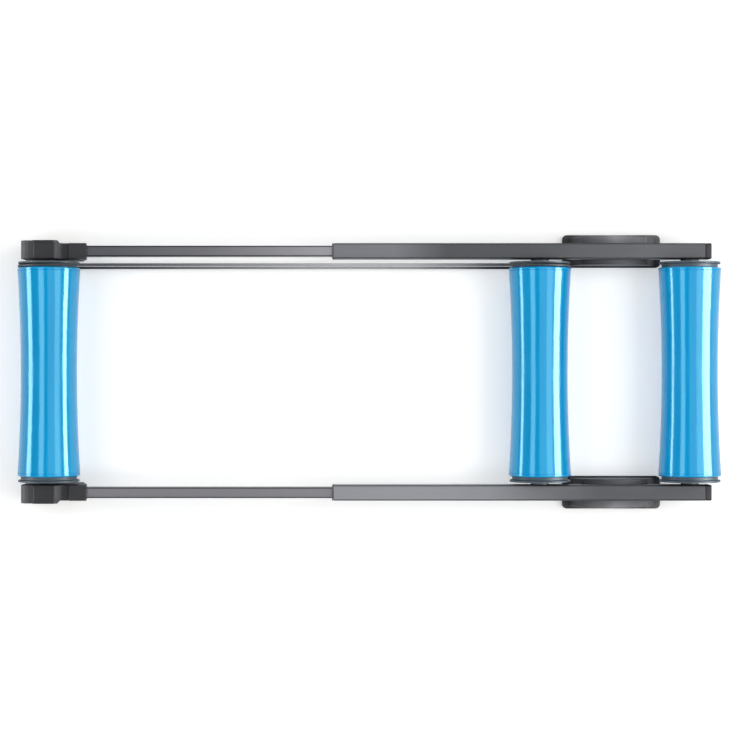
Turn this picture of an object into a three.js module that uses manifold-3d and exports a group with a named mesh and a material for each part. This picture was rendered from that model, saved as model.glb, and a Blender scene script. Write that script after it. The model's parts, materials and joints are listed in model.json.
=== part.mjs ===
// Bike rollers: a telescoping frame that carries three waisted drums, two of them joined by a belt.
// Millimetres. +X runs to the rear roller, +Y to the belt side, +Z up, and the pads stand on z = 0.

import * as THREE from "three";
import { mergeVertices, toCreasedNormals } from "three/addons/utils/BufferGeometryUtils.js";
import Module from "manifold-3d";

const wasm = await Module();
wasm.setup();

// Layout of the three axles
const AXLE_SPREAD = 1232; // front axle to rear axle
const REAR_PAIR_SPACING = 288; // middle axle to rear axle
const AXLE_HEIGHT = 85;

// Clearances
const FIT = 0.3; // gap between pieces that touch
const OVERRUN = 4; // how far a cutter runs past the face that it opens
const BITE = 1; // how far one form reaches into another that it is joined to

// Drums
const DRUM_LENGTH = 400;
const DRUM_END_RADIUS = 60;
const DRUM_WAIST_RADIUS = 53.5;
const DRUM_WALL = 4;
const DRUM_SHOULDER = 3; // rounding at each end

// End caps
const PLUG_DEPTH = 12; // how far a cap plugs into its drum
const WEB_THICKNESS = 7;
const GROOVE_RADIUS = 53.5;
const GROOVE_FLARE = 1.4;
const FLANGE_RADIUS = 58.5;
const FLANGE_WIDTH = 3.5;
const RIM_THICKNESS = 5;
const HUB_RADIUS = 18;
const HUB_BORE_RADIUS = 9.5;

// Drive belt, a round elastic cord
const BELT_DIAMETER = 5.5;

// Ball bearings
const BEARING_RADIUS = 13;
const BEARING_WIDTH = 8;
const RACE_THICKNESS = 1.8;
const BALL_RADIUS = 2.3;
const BALL_COUNT = 7;
const GROOVE_HALF_WIDTH = 1.4;
const SHIELD_THICKNESS = 0.6;
const CAGE_SIZE = 1.4; // square section of the cage ring

// Axles and their set screws
const AXLE_RADIUS = 5;
const AXLE_CHAMFER = 1;
const SET_SCREW_RADIUS = 1.5;
const SET_SCREW_SOCKET_RADIUS = 0.8;
const SET_SCREW_SOCKET_DEPTH = 2;

// Outer rails, rectangular steel tube
const RAIL_GAP = 5.5; // cap face to rail
const RAIL_WIDTH = 30;
const RAIL_HEIGHT = 40;
const RAIL_WALL = 2;
const RAIL_CORNER = 3;
const MOUTH_BEHIND_FRONT_AXLE = 548;
const RAIL_END_BEHIND_REAR_AXLE = 27;
const BOSS_RADIUS = 17;
const BOSS_NOSE_RADIUS = 7;
const BOSS_NOSE_LENGTH = 1;

// Inner rails
const INNER_RAIL_WIDTH = 21;
const INNER_RAIL_HEIGHT = 32;
const INNER_RAIL_WALL = 1.8;
const SOCKET_BEHIND_AXLE = 43; // front axle to the bottom of the bracket's socket

// Plastic fittings of the rails
const PLUG_FACE = 12;
const PLUG_SPIGOT = 20;
const FITTING_BEVEL = 1.5;
const BUSH_FACE = 3;
const BUSH_LENGTH = 34;
const SLIDER_LENGTH = 40;
const SLIDER_END_WALL = 3;
const STOP_GAP = 0.6; // slider to bush with the frame drawn right out

// Lock knobs below the rail mouths
const LOCK_BEHIND_MOUTH = 18;
const LOCK_BOSS_RADIUS = 7;
const LOCK_BOSS_LENGTH = 8;
const STUD_RADIUS = 3;
const KNOB_RADIUS = 11;
const KNOB_LOBE = 1.4;
const KNOB_LOBES = 6;
const KNOB_HEIGHT = 13;
const KNOB_BEVEL = 1.2;

// Front brackets
const BRACKET_WIDTH = 35.5;
const RIM_STEP = 3; // from the hub's top down to the rim along its outer side
const BRACKET_AHEAD = 52; // front axle to the bracket's leading face
const BRACKET_FACE_HEIGHT = 96;
const BRACKET_NOSE_LENGTH = 8;
const BRACKET_NOSE_RISE = 8;
const HUB_SHELF = 21; // depth of the shelf ahead of the raised hub
const HUB_LEAD = 6; // slope up to the hub's top
const HUB_TOP_ABOVE_AXLE = 30;
const HUB_TOP_BEHIND_AXLE = 13;
const HUB_DROP = 7; // fall at the rim's trailing edge
const RIM_SLANT = 10; // how far that edge leans forward below
const SWEEP_LENGTH = 17; // the hub's top falls to the neck in one smooth sweep
const SWEEP_DROP = 15;
const NECK_LENGTH = 11;
const COLLAR_LENGTH = 34;
const COLLAR_SLANT = 5; // how far the collar's end leans forward below
const COLLAR_WALL = 6; // above and below the inner rail
const LEG_BEHIND_AXLE = 56;
const GUSSET_REACH = 14;
const GUSSET_FOOT = 10;
const AXLE_BORE_DEPTH = 21; // into the bracket
const BRACKET_BEVEL = 1.5;

// Front pads
const FRONT_PAD_THICKNESS = 6;
const PAD_INSET = 3;
const PAD_CORNER = 6;

// Rear feet
const FOOT_LENGTH = 192;
const FOOT_WIDTH = 64;
const FOOT_INSET = 7; // cap face to the foot's inner edge, measured inwards
const FOOT_AHEAD_OF_REAR_AXLE = 142;
const FOOT_CORNER = 9;
const FOOT_PLATE = 11;
const FOOT_BEVEL = 1.5;
const REAR_PAD_THICKNESS = 5;
const SADDLE_TOP_LENGTH = 126;
const SADDLE_CROWN = 13; // crown above the rail's underside
const SADDLE_SHOULDER = 4; // where the top ends, above the rail's underside
const SADDLE_TOE = 12; // saddle to the foot's end
const INNER_CHEEK = 9.5;
const OUTER_CHEEK = 15.5;
const FOOT_WALL = 5;
const FOOT_ROOF = 10;
const BOLT_RADIUS = 3;
const BOLT_HEAD_RADIUS = 6;
const BOLT_HEAD_HEIGHT = 5;
const BOLT_WELL_RADIUS = 7;
const BOLT_WELL_WALL = 4;

// Mesh fineness
const DRUM_SEGMENTS = 24;
const BEARING_SEGMENTS = 16;
const ROD_SEGMENTS = 16;
const SMALL_SEGMENTS = 10;
const BELT_SIDES = 8;
const BELT_ARC_STEPS = DRUM_SEGMENTS / 2;
const CREASE_ANGLE = 0.6;
const MERGE_TOLERANCE = 1e-4;

// Places that follow from the sizes
const FRONT_X = -AXLE_SPREAD / 2;
const REAR_X = AXLE_SPREAD / 2;
const MIDDLE_X = REAR_X - REAR_PAIR_SPACING;
const DRUM_HALF = DRUM_LENGTH / 2;
const GROOVE_FLOOR = BELT_DIAMETER + 2 * FIT;
const FLANGE_START = DRUM_HALF + GROOVE_FLOOR + GROOVE_FLARE;
const CAP_FACE = FLANGE_START + FLANGE_WIDTH;
const BEARING_Y = CAP_FACE - FIT - BEARING_WIDTH / 2;
const RAIL_INNER_FACE = CAP_FACE + RAIL_GAP;
const RAIL_Y = RAIL_INNER_FACE + RAIL_WIDTH / 2;
const RAIL_OUTER_FACE = RAIL_INNER_FACE + RAIL_WIDTH;
const RAIL_UNDERSIDE = AXLE_HEIGHT - RAIL_HEIGHT / 2;
const MOUTH_X = FRONT_X + MOUTH_BEHIND_FRONT_AXLE;
const RAIL_END_X = REAR_X + RAIL_END_BEHIND_REAR_AXLE;
const BOSS_TIP = BEARING_Y + BEARING_WIDTH / 2 + FIT;
const SET_SCREW_Y = (BOSS_TIP + BOSS_NOSE_LENGTH + RAIL_INNER_FACE) / 2;
const LOCK_X = MOUTH_X + LOCK_BEHIND_MOUTH;
const SLIDER_FRONT_X = MOUTH_X + BUSH_LENGTH + STOP_GAP;
const INNER_RAIL_FRONT_X = FRONT_X + SOCKET_BEHIND_AXLE;
const INNER_RAIL_REAR_X = SLIDER_FRONT_X + SLIDER_LENGTH - SLIDER_END_WALL - FIT;
const FOOT_X = REAR_X - FOOT_AHEAD_OF_REAR_AXLE;
const FOOT_INNER_EDGE = CAP_FACE - FOOT_INSET;
const FOOT_CEILING = RAIL_UNDERSIDE - FIT - FOOT_ROOF;

// Finishes, as the object shows them
const finish = (color, roughness, metalness) =>
  new THREE.MeshStandardMaterial({ color, roughness, metalness });

const BLUE_DRUM = finish(0x1596d6, 0.22, 0);
const GREY_CAP = finish(0x565d63, 0.45, 0);
const BLACK_BELT = finish(0x2a2c2f, 0.7, 0);
const RAIL_PAINT = finish(0x5c6065, 0.45, 0.2);
const INNER_RAIL_METAL = finish(0x8f9196, 0.4, 0.6);
const BLACK_PLASTIC = finish(0x333438, 0.5, 0);
const RUBBER = finish(0x1d1e20, 0.9, 0);
const STEEL = finish(0xb9bcc0, 0.3, 1);
const GREY_GUIDE = finish(0x4d4d4f, 0.5, 0);

// Axes for extrusions: a shape drawn across X, or a side view drawn in X and Z
const ACROSS_X = new THREE.Matrix4().makeBasis(
  new THREE.Vector3(0, 1, 0),
  new THREE.Vector3(0, 0, 1),
  new THREE.Vector3(1, 0, 0),
);
const SIDE_VIEW = new THREE.Matrix4().makeBasis(
  new THREE.Vector3(1, 0, 0),
  new THREE.Vector3(0, 0, 1),
  new THREE.Vector3(0, -1, 0),
);

// A closed mesh as a solid that can be joined and cut.
function solidOf(geometry) {
  const bare = geometry.clone();
  bare.deleteAttribute("normal");
  bare.deleteAttribute("uv");
  const merged = mergeVertices(bare, MERGE_TOLERANCE);
  return new wasm.Manifold(
    new wasm.Mesh({
      numProp: 3,
      vertProperties: merged.attributes.position.array,
      triVerts: new Uint32Array(merged.index.array),
    }),
  );
}

// A solid as a mesh geometry with its sharp edges kept sharp.
function geometryOf(solid) {
  const { vertProperties, triVerts } = solid.getMesh();
  const geometry = new THREE.BufferGeometry();
  geometry.setAttribute("position", new THREE.BufferAttribute(vertProperties, 3));
  geometry.setIndex(new THREE.BufferAttribute(triVerts, 1));
  return toCreasedNormals(geometry, CREASE_ANGLE);
}

// Joins the forms in one list and takes the forms in another away from them.
function carve(forms, cutters = []) {
  const joined = forms.map(solidOf).reduce((a, b) => a.add(b));
  return geometryOf(cutters.map(solidOf).reduce((a, b) => a.subtract(b), joined));
}

// A turned form about the Y axis from a closed profile of [radius, y] points.
function turned(profile, segments) {
  const points = [...profile, profile[0]].map(([radius, y]) => new THREE.Vector2(radius, y));
  return new THREE.LatheGeometry(points, segments);
}

// Round rods along Y and along Z, between two places on their axis.
function rodAlongY(radius, from, to, segments = ROD_SEGMENTS) {
  const rod = new THREE.CylinderGeometry(radius, radius, to - from, segments);
  return rod.translate(0, (from + to) / 2, 0);
}

function rodAlongZ(radius, from, to, segments = SMALL_SEGMENTS) {
  const rod = new THREE.CylinderGeometry(radius, radius, to - from, segments);
  return rod.rotateX(Math.PI / 2).translate(0, 0, (from + to) / 2);
}

// A rectangle with rounded corners, centred on the origin.
function roundedRectangle(width, height, corner) {
  const [w, h] = [width / 2, height / 2];
  const shape = new THREE.Shape();
  shape.moveTo(-w + corner, -h);
  shape.lineTo(w - corner, -h);
  shape.absarc(w - corner, -h + corner, corner, -Math.PI / 2, 0);
  shape.lineTo(w, h - corner);
  shape.absarc(w - corner, h - corner, corner, 0, Math.PI / 2);
  shape.lineTo(-w + corner, h);
  shape.absarc(-w + corner, h - corner, corner, Math.PI / 2, Math.PI);
  shape.lineTo(-w, -h + corner);
  shape.absarc(-w + corner, -h + corner, corner, Math.PI, 1.5 * Math.PI);
  return shape;
}

// A shape given thickness, with its rims bevelled inwards.
function plate(shape, thickness, bevel = 0, curveSegments = 2) {
  const geometry = new THREE.ExtrudeGeometry(shape, {
    depth: thickness - 2 * bevel,
    bevelEnabled: bevel > 0,
    bevelThickness: bevel,
    bevelSize: bevel,
    bevelOffset: -bevel,
    bevelSegments: 1,
    curveSegments,
  });
  return geometry.translate(0, 0, bevel);
}

// A rectangular bar or tube section that runs along X at the height of the axles.
function barAlongX(width, height, corner, fromX, toX, bevel = 0) {
  const bar = plate(roundedRectangle(width, height, corner), toX - fromX, bevel);
  return bar.applyMatrix4(ACROSS_X).translate(fromX, RAIL_Y, AXLE_HEIGHT);
}

// A side view given thickness between two places across the frame.
function slabAcrossY(points, fromX, fromY, toY, bevel = 0) {
  const shape = new THREE.Shape(points.map(([x, z]) => new THREE.Vector2(x, z)));
  return plate(shape, toY - fromY, bevel).applyMatrix4(SIDE_VIEW).translate(fromX, toY, 0);
}

// Drum: a thin moulded tube, narrower at its middle, with seats for the end caps
function drumGeometry() {
  const edge = DRUM_HALF - DRUM_SHOULDER;
  const seat = DRUM_HALF - PLUG_DEPTH;
  const outerShares = [-1, -0.7, -0.35, 0, 0.35, 0.7, 1];
  const innerShares = [1, 0.5, 0, -0.5, -1];
  const outer = outerShares.map((share) => [drumRadiusAt(share * edge), share * edge]);
  const inner = innerShares.map((share) => [drumRadiusAt(share * seat) - DRUM_WALL, share * seat]);
  const lip = DRUM_END_RADIUS - DRUM_SHOULDER;
  const seatRadius = drumSeatRadius();
  return turned(
    [
      [lip, -DRUM_HALF],
      ...outer,
      [lip, DRUM_HALF],
      [seatRadius, DRUM_HALF],
      ...inner,
      [seatRadius, -DRUM_HALF],
    ],
    DRUM_SEGMENTS,
  );
}

function drumRadiusAt(y) {
  const share = Math.abs(y) / (DRUM_HALF - DRUM_SHOULDER);
  return DRUM_WAIST_RADIUS + (DRUM_END_RADIUS - DRUM_WAIST_RADIUS) * share ** 2;
}

function drumSeatRadius() {
  return drumRadiusAt(DRUM_HALF - PLUG_DEPTH) - DRUM_WALL;
}

// End cap: a plug in the drum, the belt groove with its flange, and the pocket for a bearing
function endCapGeometry() {
  const plugRadius = drumSeatRadius() - FIT;
  const plugEnd = DRUM_HALF - PLUG_DEPTH;
  const web = plugEnd + WEB_THICKNESS;
  const pocketFloor = BEARING_Y - BEARING_WIDTH / 2 - FIT;
  const pocketRadius = BEARING_RADIUS + FIT;
  const rimRadius = GROOVE_RADIUS - RIM_THICKNESS;
  return turned(
    [
      [HUB_BORE_RADIUS, plugEnd],
      [plugRadius, plugEnd],
      [plugRadius, DRUM_HALF - FIT],
      [GROOVE_RADIUS, DRUM_HALF],
      [GROOVE_RADIUS, DRUM_HALF + GROOVE_FLOOR],
      [FLANGE_RADIUS, FLANGE_START],
      [FLANGE_RADIUS, CAP_FACE],
      [rimRadius, CAP_FACE],
      [rimRadius, web],
      [HUB_RADIUS, web],
      [HUB_RADIUS, CAP_FACE],
      [pocketRadius, CAP_FACE],
      [pocketRadius, pocketFloor],
      [HUB_BORE_RADIUS, pocketFloor],
    ],
    DRUM_SEGMENTS,
  );
}

// Bearing: two races with ball grooves, a shield on the outer side, and balls in a cage between them
const BORE_RADIUS = AXLE_RADIUS + FIT;
const PITCH_RADIUS = (BORE_RADIUS + BEARING_RADIUS) / 2;
const OUTER_RACE_GROOVE_RADIUS = PITCH_RADIUS + BALL_RADIUS + FIT;
const INNER_RACE_GROOVE_RADIUS = PITCH_RADIUS - BALL_RADIUS - FIT;

function outerRaceGeometry() {
  const half = BEARING_WIDTH / 2;
  const bore = BEARING_RADIUS - RACE_THICKNESS;
  const shieldBore = BORE_RADIUS + RACE_THICKNESS + FIT;
  const race = [
    [BEARING_RADIUS, -half],
    [BEARING_RADIUS, half],
    [shieldBore, half],
    [shieldBore, half - SHIELD_THICKNESS],
    [bore, half - SHIELD_THICKNESS],
    [bore, GROOVE_HALF_WIDTH],
    [OUTER_RACE_GROOVE_RADIUS, 0],
    [bore, -GROOVE_HALF_WIDTH],
    [bore, -half],
  ];
  return turned(race, BEARING_SEGMENTS).translate(0, BEARING_Y, 0);
}

function innerRaceGeometry() {
  const half = BEARING_WIDTH / 2;
  const rim = BORE_RADIUS + RACE_THICKNESS;
  const race = [
    [BORE_RADIUS, -half],
    [rim, -half],
    [rim, -GROOVE_HALF_WIDTH],
    [INNER_RACE_GROOVE_RADIUS, 0],
    [rim, GROOVE_HALF_WIDTH],
    [rim, half],
    [BORE_RADIUS, half],
  ];
  return turned(race, BEARING_SEGMENTS).translate(0, BEARING_Y, 0);
}

function ballCageGeometry() {
  const half = CAGE_SIZE / 2;
  const ring = [
    [PITCH_RADIUS - half, -half],
    [PITCH_RADIUS + half, -half],
    [PITCH_RADIUS + half, half],
    [PITCH_RADIUS - half, half],
  ];
  const balls = [];
  for (let i = 0; i < BALL_COUNT; i++) {
    const ball = new THREE.IcosahedronGeometry(BALL_RADIUS);
    ball.translate(PITCH_RADIUS, 0, 0).rotateY((i * 2 * Math.PI) / BALL_COUNT);
    balls.push(ball);
  }
  return carve([turned(ring, BALL_COUNT).rotateY(-Math.PI / 2), ...balls]).translate(0, BEARING_Y, 0);
}

// Axle: a steel rod with chamfered ends
function axleGeometry(halfLength) {
  const shoulder = halfLength - AXLE_CHAMFER;
  const tip = AXLE_RADIUS - AXLE_CHAMFER;
  const points = [
    [0, -halfLength],
    [tip, -halfLength],
    [AXLE_RADIUS, -shoulder],
    [AXLE_RADIUS, shoulder],
    [tip, halfLength],
    [0, halfLength],
  ];
  const profile = points.map(([radius, y]) => new THREE.Vector2(radius, y));
  return new THREE.LatheGeometry(profile, ROD_SEGMENTS);
}

// Set screw that holds an axle end in its boss, driven from below
const SET_SCREW_TOP = AXLE_HEIGHT - AXLE_RADIUS - FIT;
const SET_SCREW_FOOT = AXLE_HEIGHT - BOSS_RADIUS + FIT;

function setScrewGeometry() {
  const socket = rodAlongZ(
    SET_SCREW_SOCKET_RADIUS,
    SET_SCREW_FOOT - OVERRUN,
    SET_SCREW_FOOT + SET_SCREW_SOCKET_DEPTH,
    6,
  );
  return carve([rodAlongZ(SET_SCREW_RADIUS, SET_SCREW_FOOT, SET_SCREW_TOP)], [socket]);
}

// Boss that takes an axle end: its nose meets the inner race of the bearing
function axleBossForms() {
  return [
    rodAlongY(BOSS_RADIUS, BOSS_TIP + BOSS_NOSE_LENGTH, RAIL_INNER_FACE + BITE),
    rodAlongY(BOSS_NOSE_RADIUS, BOSS_TIP, BOSS_TIP + BOSS_NOSE_LENGTH + BITE),
  ].map((form) => form.translate(0, 0, AXLE_HEIGHT));
}

function axleBoreCutters(boreEnd) {
  const bore = rodAlongY(BORE_RADIUS, BOSS_TIP - OVERRUN, boreEnd);
  const screwHole = rodAlongZ(
    SET_SCREW_RADIUS + FIT,
    AXLE_HEIGHT - BOSS_RADIUS - OVERRUN,
    AXLE_HEIGHT - AXLE_RADIUS + BITE,
  );
  return [bore.translate(0, 0, AXLE_HEIGHT), screwHole.translate(0, SET_SCREW_Y, 0)];
}

// Outer rail: a rectangular tube with two axle bosses, a threaded boss for the lock knob and a bolt hole
function outerRailGeometry() {
  const tube = barAlongX(RAIL_WIDTH, RAIL_HEIGHT, RAIL_CORNER, MOUTH_X, RAIL_END_X);
  const hollow = barAlongX(
    RAIL_WIDTH - 2 * RAIL_WALL,
    RAIL_HEIGHT - 2 * RAIL_WALL,
    RAIL_CORNER - RAIL_WALL,
    MOUTH_X - OVERRUN,
    RAIL_END_X + OVERRUN,
  );
  const axleXs = [MIDDLE_X, REAR_X];
  const bosses = axleXs.flatMap((x) => axleBossForms().map((form) => form.translate(x, 0, 0)));
  const boreEnd = RAIL_INNER_FACE + RAIL_WALL + BITE;
  const bores = axleXs.flatMap((x) => axleBoreCutters(boreEnd).map((form) => form.translate(x, 0, 0)));
  const lockBoss = rodAlongZ(
    LOCK_BOSS_RADIUS,
    RAIL_UNDERSIDE - LOCK_BOSS_LENGTH,
    RAIL_UNDERSIDE + BITE,
  ).translate(LOCK_X, RAIL_Y, 0);
  const lockHole = rodAlongZ(
    STUD_RADIUS + FIT,
    RAIL_UNDERSIDE - LOCK_BOSS_LENGTH - OVERRUN,
    RAIL_UNDERSIDE + RAIL_WALL + BITE,
  ).translate(LOCK_X, RAIL_Y, 0);
  const boltHole = rodAlongZ(
    BOLT_RADIUS + FIT,
    RAIL_UNDERSIDE - OVERRUN,
    RAIL_UNDERSIDE + RAIL_WALL + BITE,
  ).translate(FOOT_X, RAIL_Y, 0);
  return carve([tube, ...bosses, lockBoss], [hollow, ...bores, lockHole, boltHole]);
}

// Inner rail: the thinner tube that slides in the outer one
function innerRailGeometry() {
  const tube = barAlongX(
    INNER_RAIL_WIDTH,
    INNER_RAIL_HEIGHT,
    RAIL_CORNER,
    INNER_RAIL_FRONT_X,
    INNER_RAIL_REAR_X,
  );
  const hollow = barAlongX(
    INNER_RAIL_WIDTH - 2 * INNER_RAIL_WALL,
    INNER_RAIL_HEIGHT - 2 * INNER_RAIL_WALL,
    RAIL_CORNER - INNER_RAIL_WALL,
    INNER_RAIL_FRONT_X - OVERRUN,
    INNER_RAIL_REAR_X + OVERRUN,
  );
  return carve([tube], [hollow]);
}

// A bar that fills the outer rail's hollow, and the clear way that the inner rail needs
const CAVITY_WIDTH = RAIL_WIDTH - 2 * RAIL_WALL - 2 * FIT;
const CAVITY_HEIGHT = RAIL_HEIGHT - 2 * RAIL_WALL - 2 * FIT;

function cavityBar(fromX, toX) {
  return barAlongX(CAVITY_WIDTH, CAVITY_HEIGHT, RAIL_CORNER - RAIL_WALL, fromX, toX);
}

function innerRailWay(fromX, toX) {
  const [width, height] = [INNER_RAIL_WIDTH + 2 * FIT, INNER_RAIL_HEIGHT + 2 * FIT];
  return barAlongX(width, height, RAIL_CORNER, fromX, toX);
}

// Plug that closes the rear end of an outer rail
function endPlugGeometry() {
  const face = barAlongX(
    RAIL_WIDTH,
    RAIL_HEIGHT,
    RAIL_CORNER,
    RAIL_END_X + FIT,
    RAIL_END_X + FIT + PLUG_FACE,
    FITTING_BEVEL,
  );
  return carve([face, cavityBar(RAIL_END_X - PLUG_SPIGOT, RAIL_END_X + FIT + BITE)]);
}

// Bush that guides the inner rail in the mouth of the outer one, with a hole for the lock stud
function mouthBushGeometry() {
  const faceStart = MOUTH_X - FIT - BUSH_FACE;
  const bushEnd = MOUTH_X + BUSH_LENGTH;
  const face = barAlongX(RAIL_WIDTH, RAIL_HEIGHT, RAIL_CORNER, faceStart, MOUTH_X - FIT);
  const sleeve = cavityBar(MOUTH_X - FIT - BITE, bushEnd);
  const way = innerRailWay(faceStart - OVERRUN, bushEnd + OVERRUN);
  const studHole = rodAlongZ(STUD_RADIUS + FIT, RAIL_UNDERSIDE, AXLE_HEIGHT);
  return carve([face, sleeve], [way, studHole.translate(LOCK_X, RAIL_Y, 0)]);
}

// Slider on the rear end of an inner rail
function sliderGeometry() {
  const end = SLIDER_FRONT_X + SLIDER_LENGTH;
  const way = innerRailWay(SLIDER_FRONT_X - OVERRUN, end - SLIDER_END_WALL);
  return carve([cavityBar(SLIDER_FRONT_X, end)], [way]);
}

// Lock knob: a lobed grip with a threaded stud that presses on the inner rail
function lockKnobGeometry() {
  const top = RAIL_UNDERSIDE - LOCK_BOSS_LENGTH - FIT;
  const tip = AXLE_HEIGHT - INNER_RAIL_HEIGHT / 2 - FIT;
  const outline = [];
  const steps = 5 * KNOB_LOBES;
  for (let i = 0; i < steps; i++) {
    const angle = (i * 2 * Math.PI) / steps;
    const radius = KNOB_RADIUS + KNOB_LOBE * Math.cos(KNOB_LOBES * angle);
    outline.push(new THREE.Vector2(radius * Math.cos(angle), radius * Math.sin(angle)));
  }
  const grip = plate(new THREE.Shape(outline), KNOB_HEIGHT, KNOB_BEVEL);
  grip.translate(0, 0, top - KNOB_HEIGHT);
  return carve([grip, rodAlongZ(STUD_RADIUS, top - BITE, tip)]);
}

// Front bracket: a slab with shelf, hub, swept neck and gusset, a rim outside it, collar, boss and bore
const HUB_EDGE = HUB_TOP_BEHIND_AXLE + HUB_DROP;
const NECK_START = HUB_TOP_BEHIND_AXLE + SWEEP_LENGTH;
const COLLAR_START = NECK_START + NECK_LENGTH;

function frontBracketGeometry() {
  const hubTop = AXLE_HEIGHT + HUB_TOP_ABOVE_AXLE;
  const shelf = BRACKET_FACE_HEIGHT + BRACKET_NOSE_RISE;
  const hubStart = -BRACKET_AHEAD + HUB_SHELF;
  const neck = hubTop - SWEEP_DROP;
  const inner = RAIL_INNER_FACE;
  const collarBottom = AXLE_HEIGHT - INNER_RAIL_HEIGHT / 2 - COLLAR_WALL;
  const collarTop = AXLE_HEIGHT + INNER_RAIL_HEIGHT / 2 + COLLAR_WALL;
  const collarEnd = COLLAR_START + COLLAR_LENGTH;
  const rimTop = hubTop - RIM_STEP;
  const nose = [
    [-BRACKET_AHEAD + BRACKET_NOSE_LENGTH, shelf],
    [-BRACKET_AHEAD, BRACKET_FACE_HEIGHT],
  ];
  const rim = [
    [-BRACKET_AHEAD, FRONT_PAD_THICKNESS],
    [HUB_EDGE - RIM_SLANT, FRONT_PAD_THICKNESS],
    [HUB_EDGE, rimTop - HUB_DROP],
    [HUB_TOP_BEHIND_AXLE, rimTop],
    [hubStart + HUB_LEAD, rimTop],
    [hubStart, shelf],
    ...nose,
  ];
  const sweep = [1, 0.8, 0.6, 0.4, 0.2, 0].map((share) => {
    const fallShare = share ** 2 * (3 - 2 * share);
    return [HUB_TOP_BEHIND_AXLE + share * SWEEP_LENGTH, hubTop - fallShare * SWEEP_DROP];
  });
  const sideView = [
    [-BRACKET_AHEAD, FRONT_PAD_THICKNESS],
    [LEG_BEHIND_AXLE, FRONT_PAD_THICKNESS],
    [LEG_BEHIND_AXLE, FRONT_PAD_THICKNESS + GUSSET_FOOT],
    [LEG_BEHIND_AXLE + GUSSET_REACH, collarBottom + BITE],
    [COLLAR_START + BITE, collarBottom + COLLAR_WALL / 2],
    [COLLAR_START + BITE, neck],
    ...sweep,
    [hubStart + HUB_LEAD, hubTop],
    [hubStart, shelf + BRACKET_BEVEL],
    [hubStart - BRACKET_BEVEL, shelf],
    ...nose,
  ];
  const collar = [
    [COLLAR_START, collarBottom],
    [collarEnd - COLLAR_SLANT, collarBottom],
    [collarEnd, collarTop],
    [COLLAR_START, collarTop],
  ];
  const forms = [
    slabAcrossY(sideView, FRONT_X, inner, inner + RAIL_WIDTH),
    slabAcrossY(rim, FRONT_X, inner + RAIL_WIDTH - BITE, inner + BRACKET_WIDTH, BRACKET_BEVEL),
    slabAcrossY(collar, FRONT_X, inner, inner + RAIL_WIDTH, BRACKET_BEVEL),
    ...axleBossForms().map((form) => form.translate(FRONT_X, 0, 0)),
  ];
  const cutters = [
    ...axleBoreCutters(inner + AXLE_BORE_DEPTH).map((form) => form.translate(FRONT_X, 0, 0)),
    innerRailWay(INNER_RAIL_FRONT_X - FIT, FRONT_X + collarEnd + OVERRUN),
  ];
  return carve(forms, cutters);
}

// Rubber pad under a front bracket
function frontPadGeometry() {
  const length = BRACKET_AHEAD + LEG_BEHIND_AXLE - 2 * PAD_INSET;
  const width = RAIL_WIDTH - PAD_INSET;
  const pad = plate(roundedRectangle(length, width, PAD_CORNER), FRONT_PAD_THICKNESS - FIT);
  return pad.translate(FRONT_X + (LEG_BEHIND_AXLE - BRACKET_AHEAD) / 2, RAIL_Y, 0);
}

// Rear foot: base plate and arched saddle round the rail, hollow below but for the bolt well
function rearFootGeometry() {
  const base = plate(roundedRectangle(FOOT_LENGTH, FOOT_WIDTH, FOOT_CORNER), FOOT_PLATE, FOOT_BEVEL);
  base.translate(FOOT_X, FOOT_INNER_EDGE + FOOT_WIDTH / 2, REAR_PAD_THICKNESS);
  const plateTop = REAR_PAD_THICKNESS + FOOT_PLATE;
  const shoulder = RAIL_UNDERSIDE + SADDLE_SHOULDER;
  const archShares = [1, 0.6, 0.2, -0.2, -0.6, -1];
  const arch = archShares.map((share) => [
    (share * SADDLE_TOP_LENGTH) / 2,
    shoulder + (SADDLE_CROWN - SADDLE_SHOULDER) * (1 - share ** 2),
  ]);
  const toe = FOOT_LENGTH / 2 - SADDLE_TOE;
  const sideView = [[-toe, plateTop - BITE], [toe, plateTop - BITE], ...arch];
  const saddleInner = RAIL_INNER_FACE - INNER_CHEEK;
  const saddleOuter = RAIL_OUTER_FACE + OUTER_CHEEK;
  const saddle = slabAcrossY(sideView, FOOT_X, saddleInner, saddleOuter, FOOT_BEVEL);
  const railWay = barAlongX(
    RAIL_WIDTH + 2 * FIT,
    RAIL_HEIGHT + 2 * FIT,
    RAIL_CORNER,
    FOOT_X - FOOT_LENGTH,
    FOOT_X + FOOT_LENGTH,
  );
  const hollowWidth = saddleOuter - saddleInner - 2 * FOOT_WALL;
  const hollowLength = SADDLE_TOP_LENGTH - 2 * FOOT_WALL;
  const hollow = plate(
    roundedRectangle(hollowLength, hollowWidth, FOOT_WALL),
    FOOT_CEILING - REAR_PAD_THICKNESS + OVERRUN,
  ).translate(FOOT_X, (saddleInner + saddleOuter) / 2, REAR_PAD_THICKNESS - OVERRUN);
  const wellWall = rodAlongZ(
    BOLT_WELL_RADIUS + BOLT_WELL_WALL,
    REAR_PAD_THICKNESS,
    FOOT_CEILING + BITE,
    ROD_SEGMENTS,
  ).translate(FOOT_X, RAIL_Y, 0);
  const well = rodAlongZ(BOLT_WELL_RADIUS, REAR_PAD_THICKNESS - OVERRUN, FOOT_CEILING, ROD_SEGMENTS);
  const boltHole = rodAlongZ(BOLT_RADIUS + FIT, FOOT_CEILING - BITE, RAIL_UNDERSIDE + OVERRUN);
  const shell = solidOf(base).add(solidOf(saddle)).subtract(solidOf(railWay));
  const holes = [well, boltHole].map((form) => form.translate(FOOT_X, RAIL_Y, 0));
  const hollowed = shell.subtract(solidOf(hollow)).add(solidOf(wellWall));
  return geometryOf(holes.map(solidOf).reduce((a, b) => a.subtract(b), hollowed));
}

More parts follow.
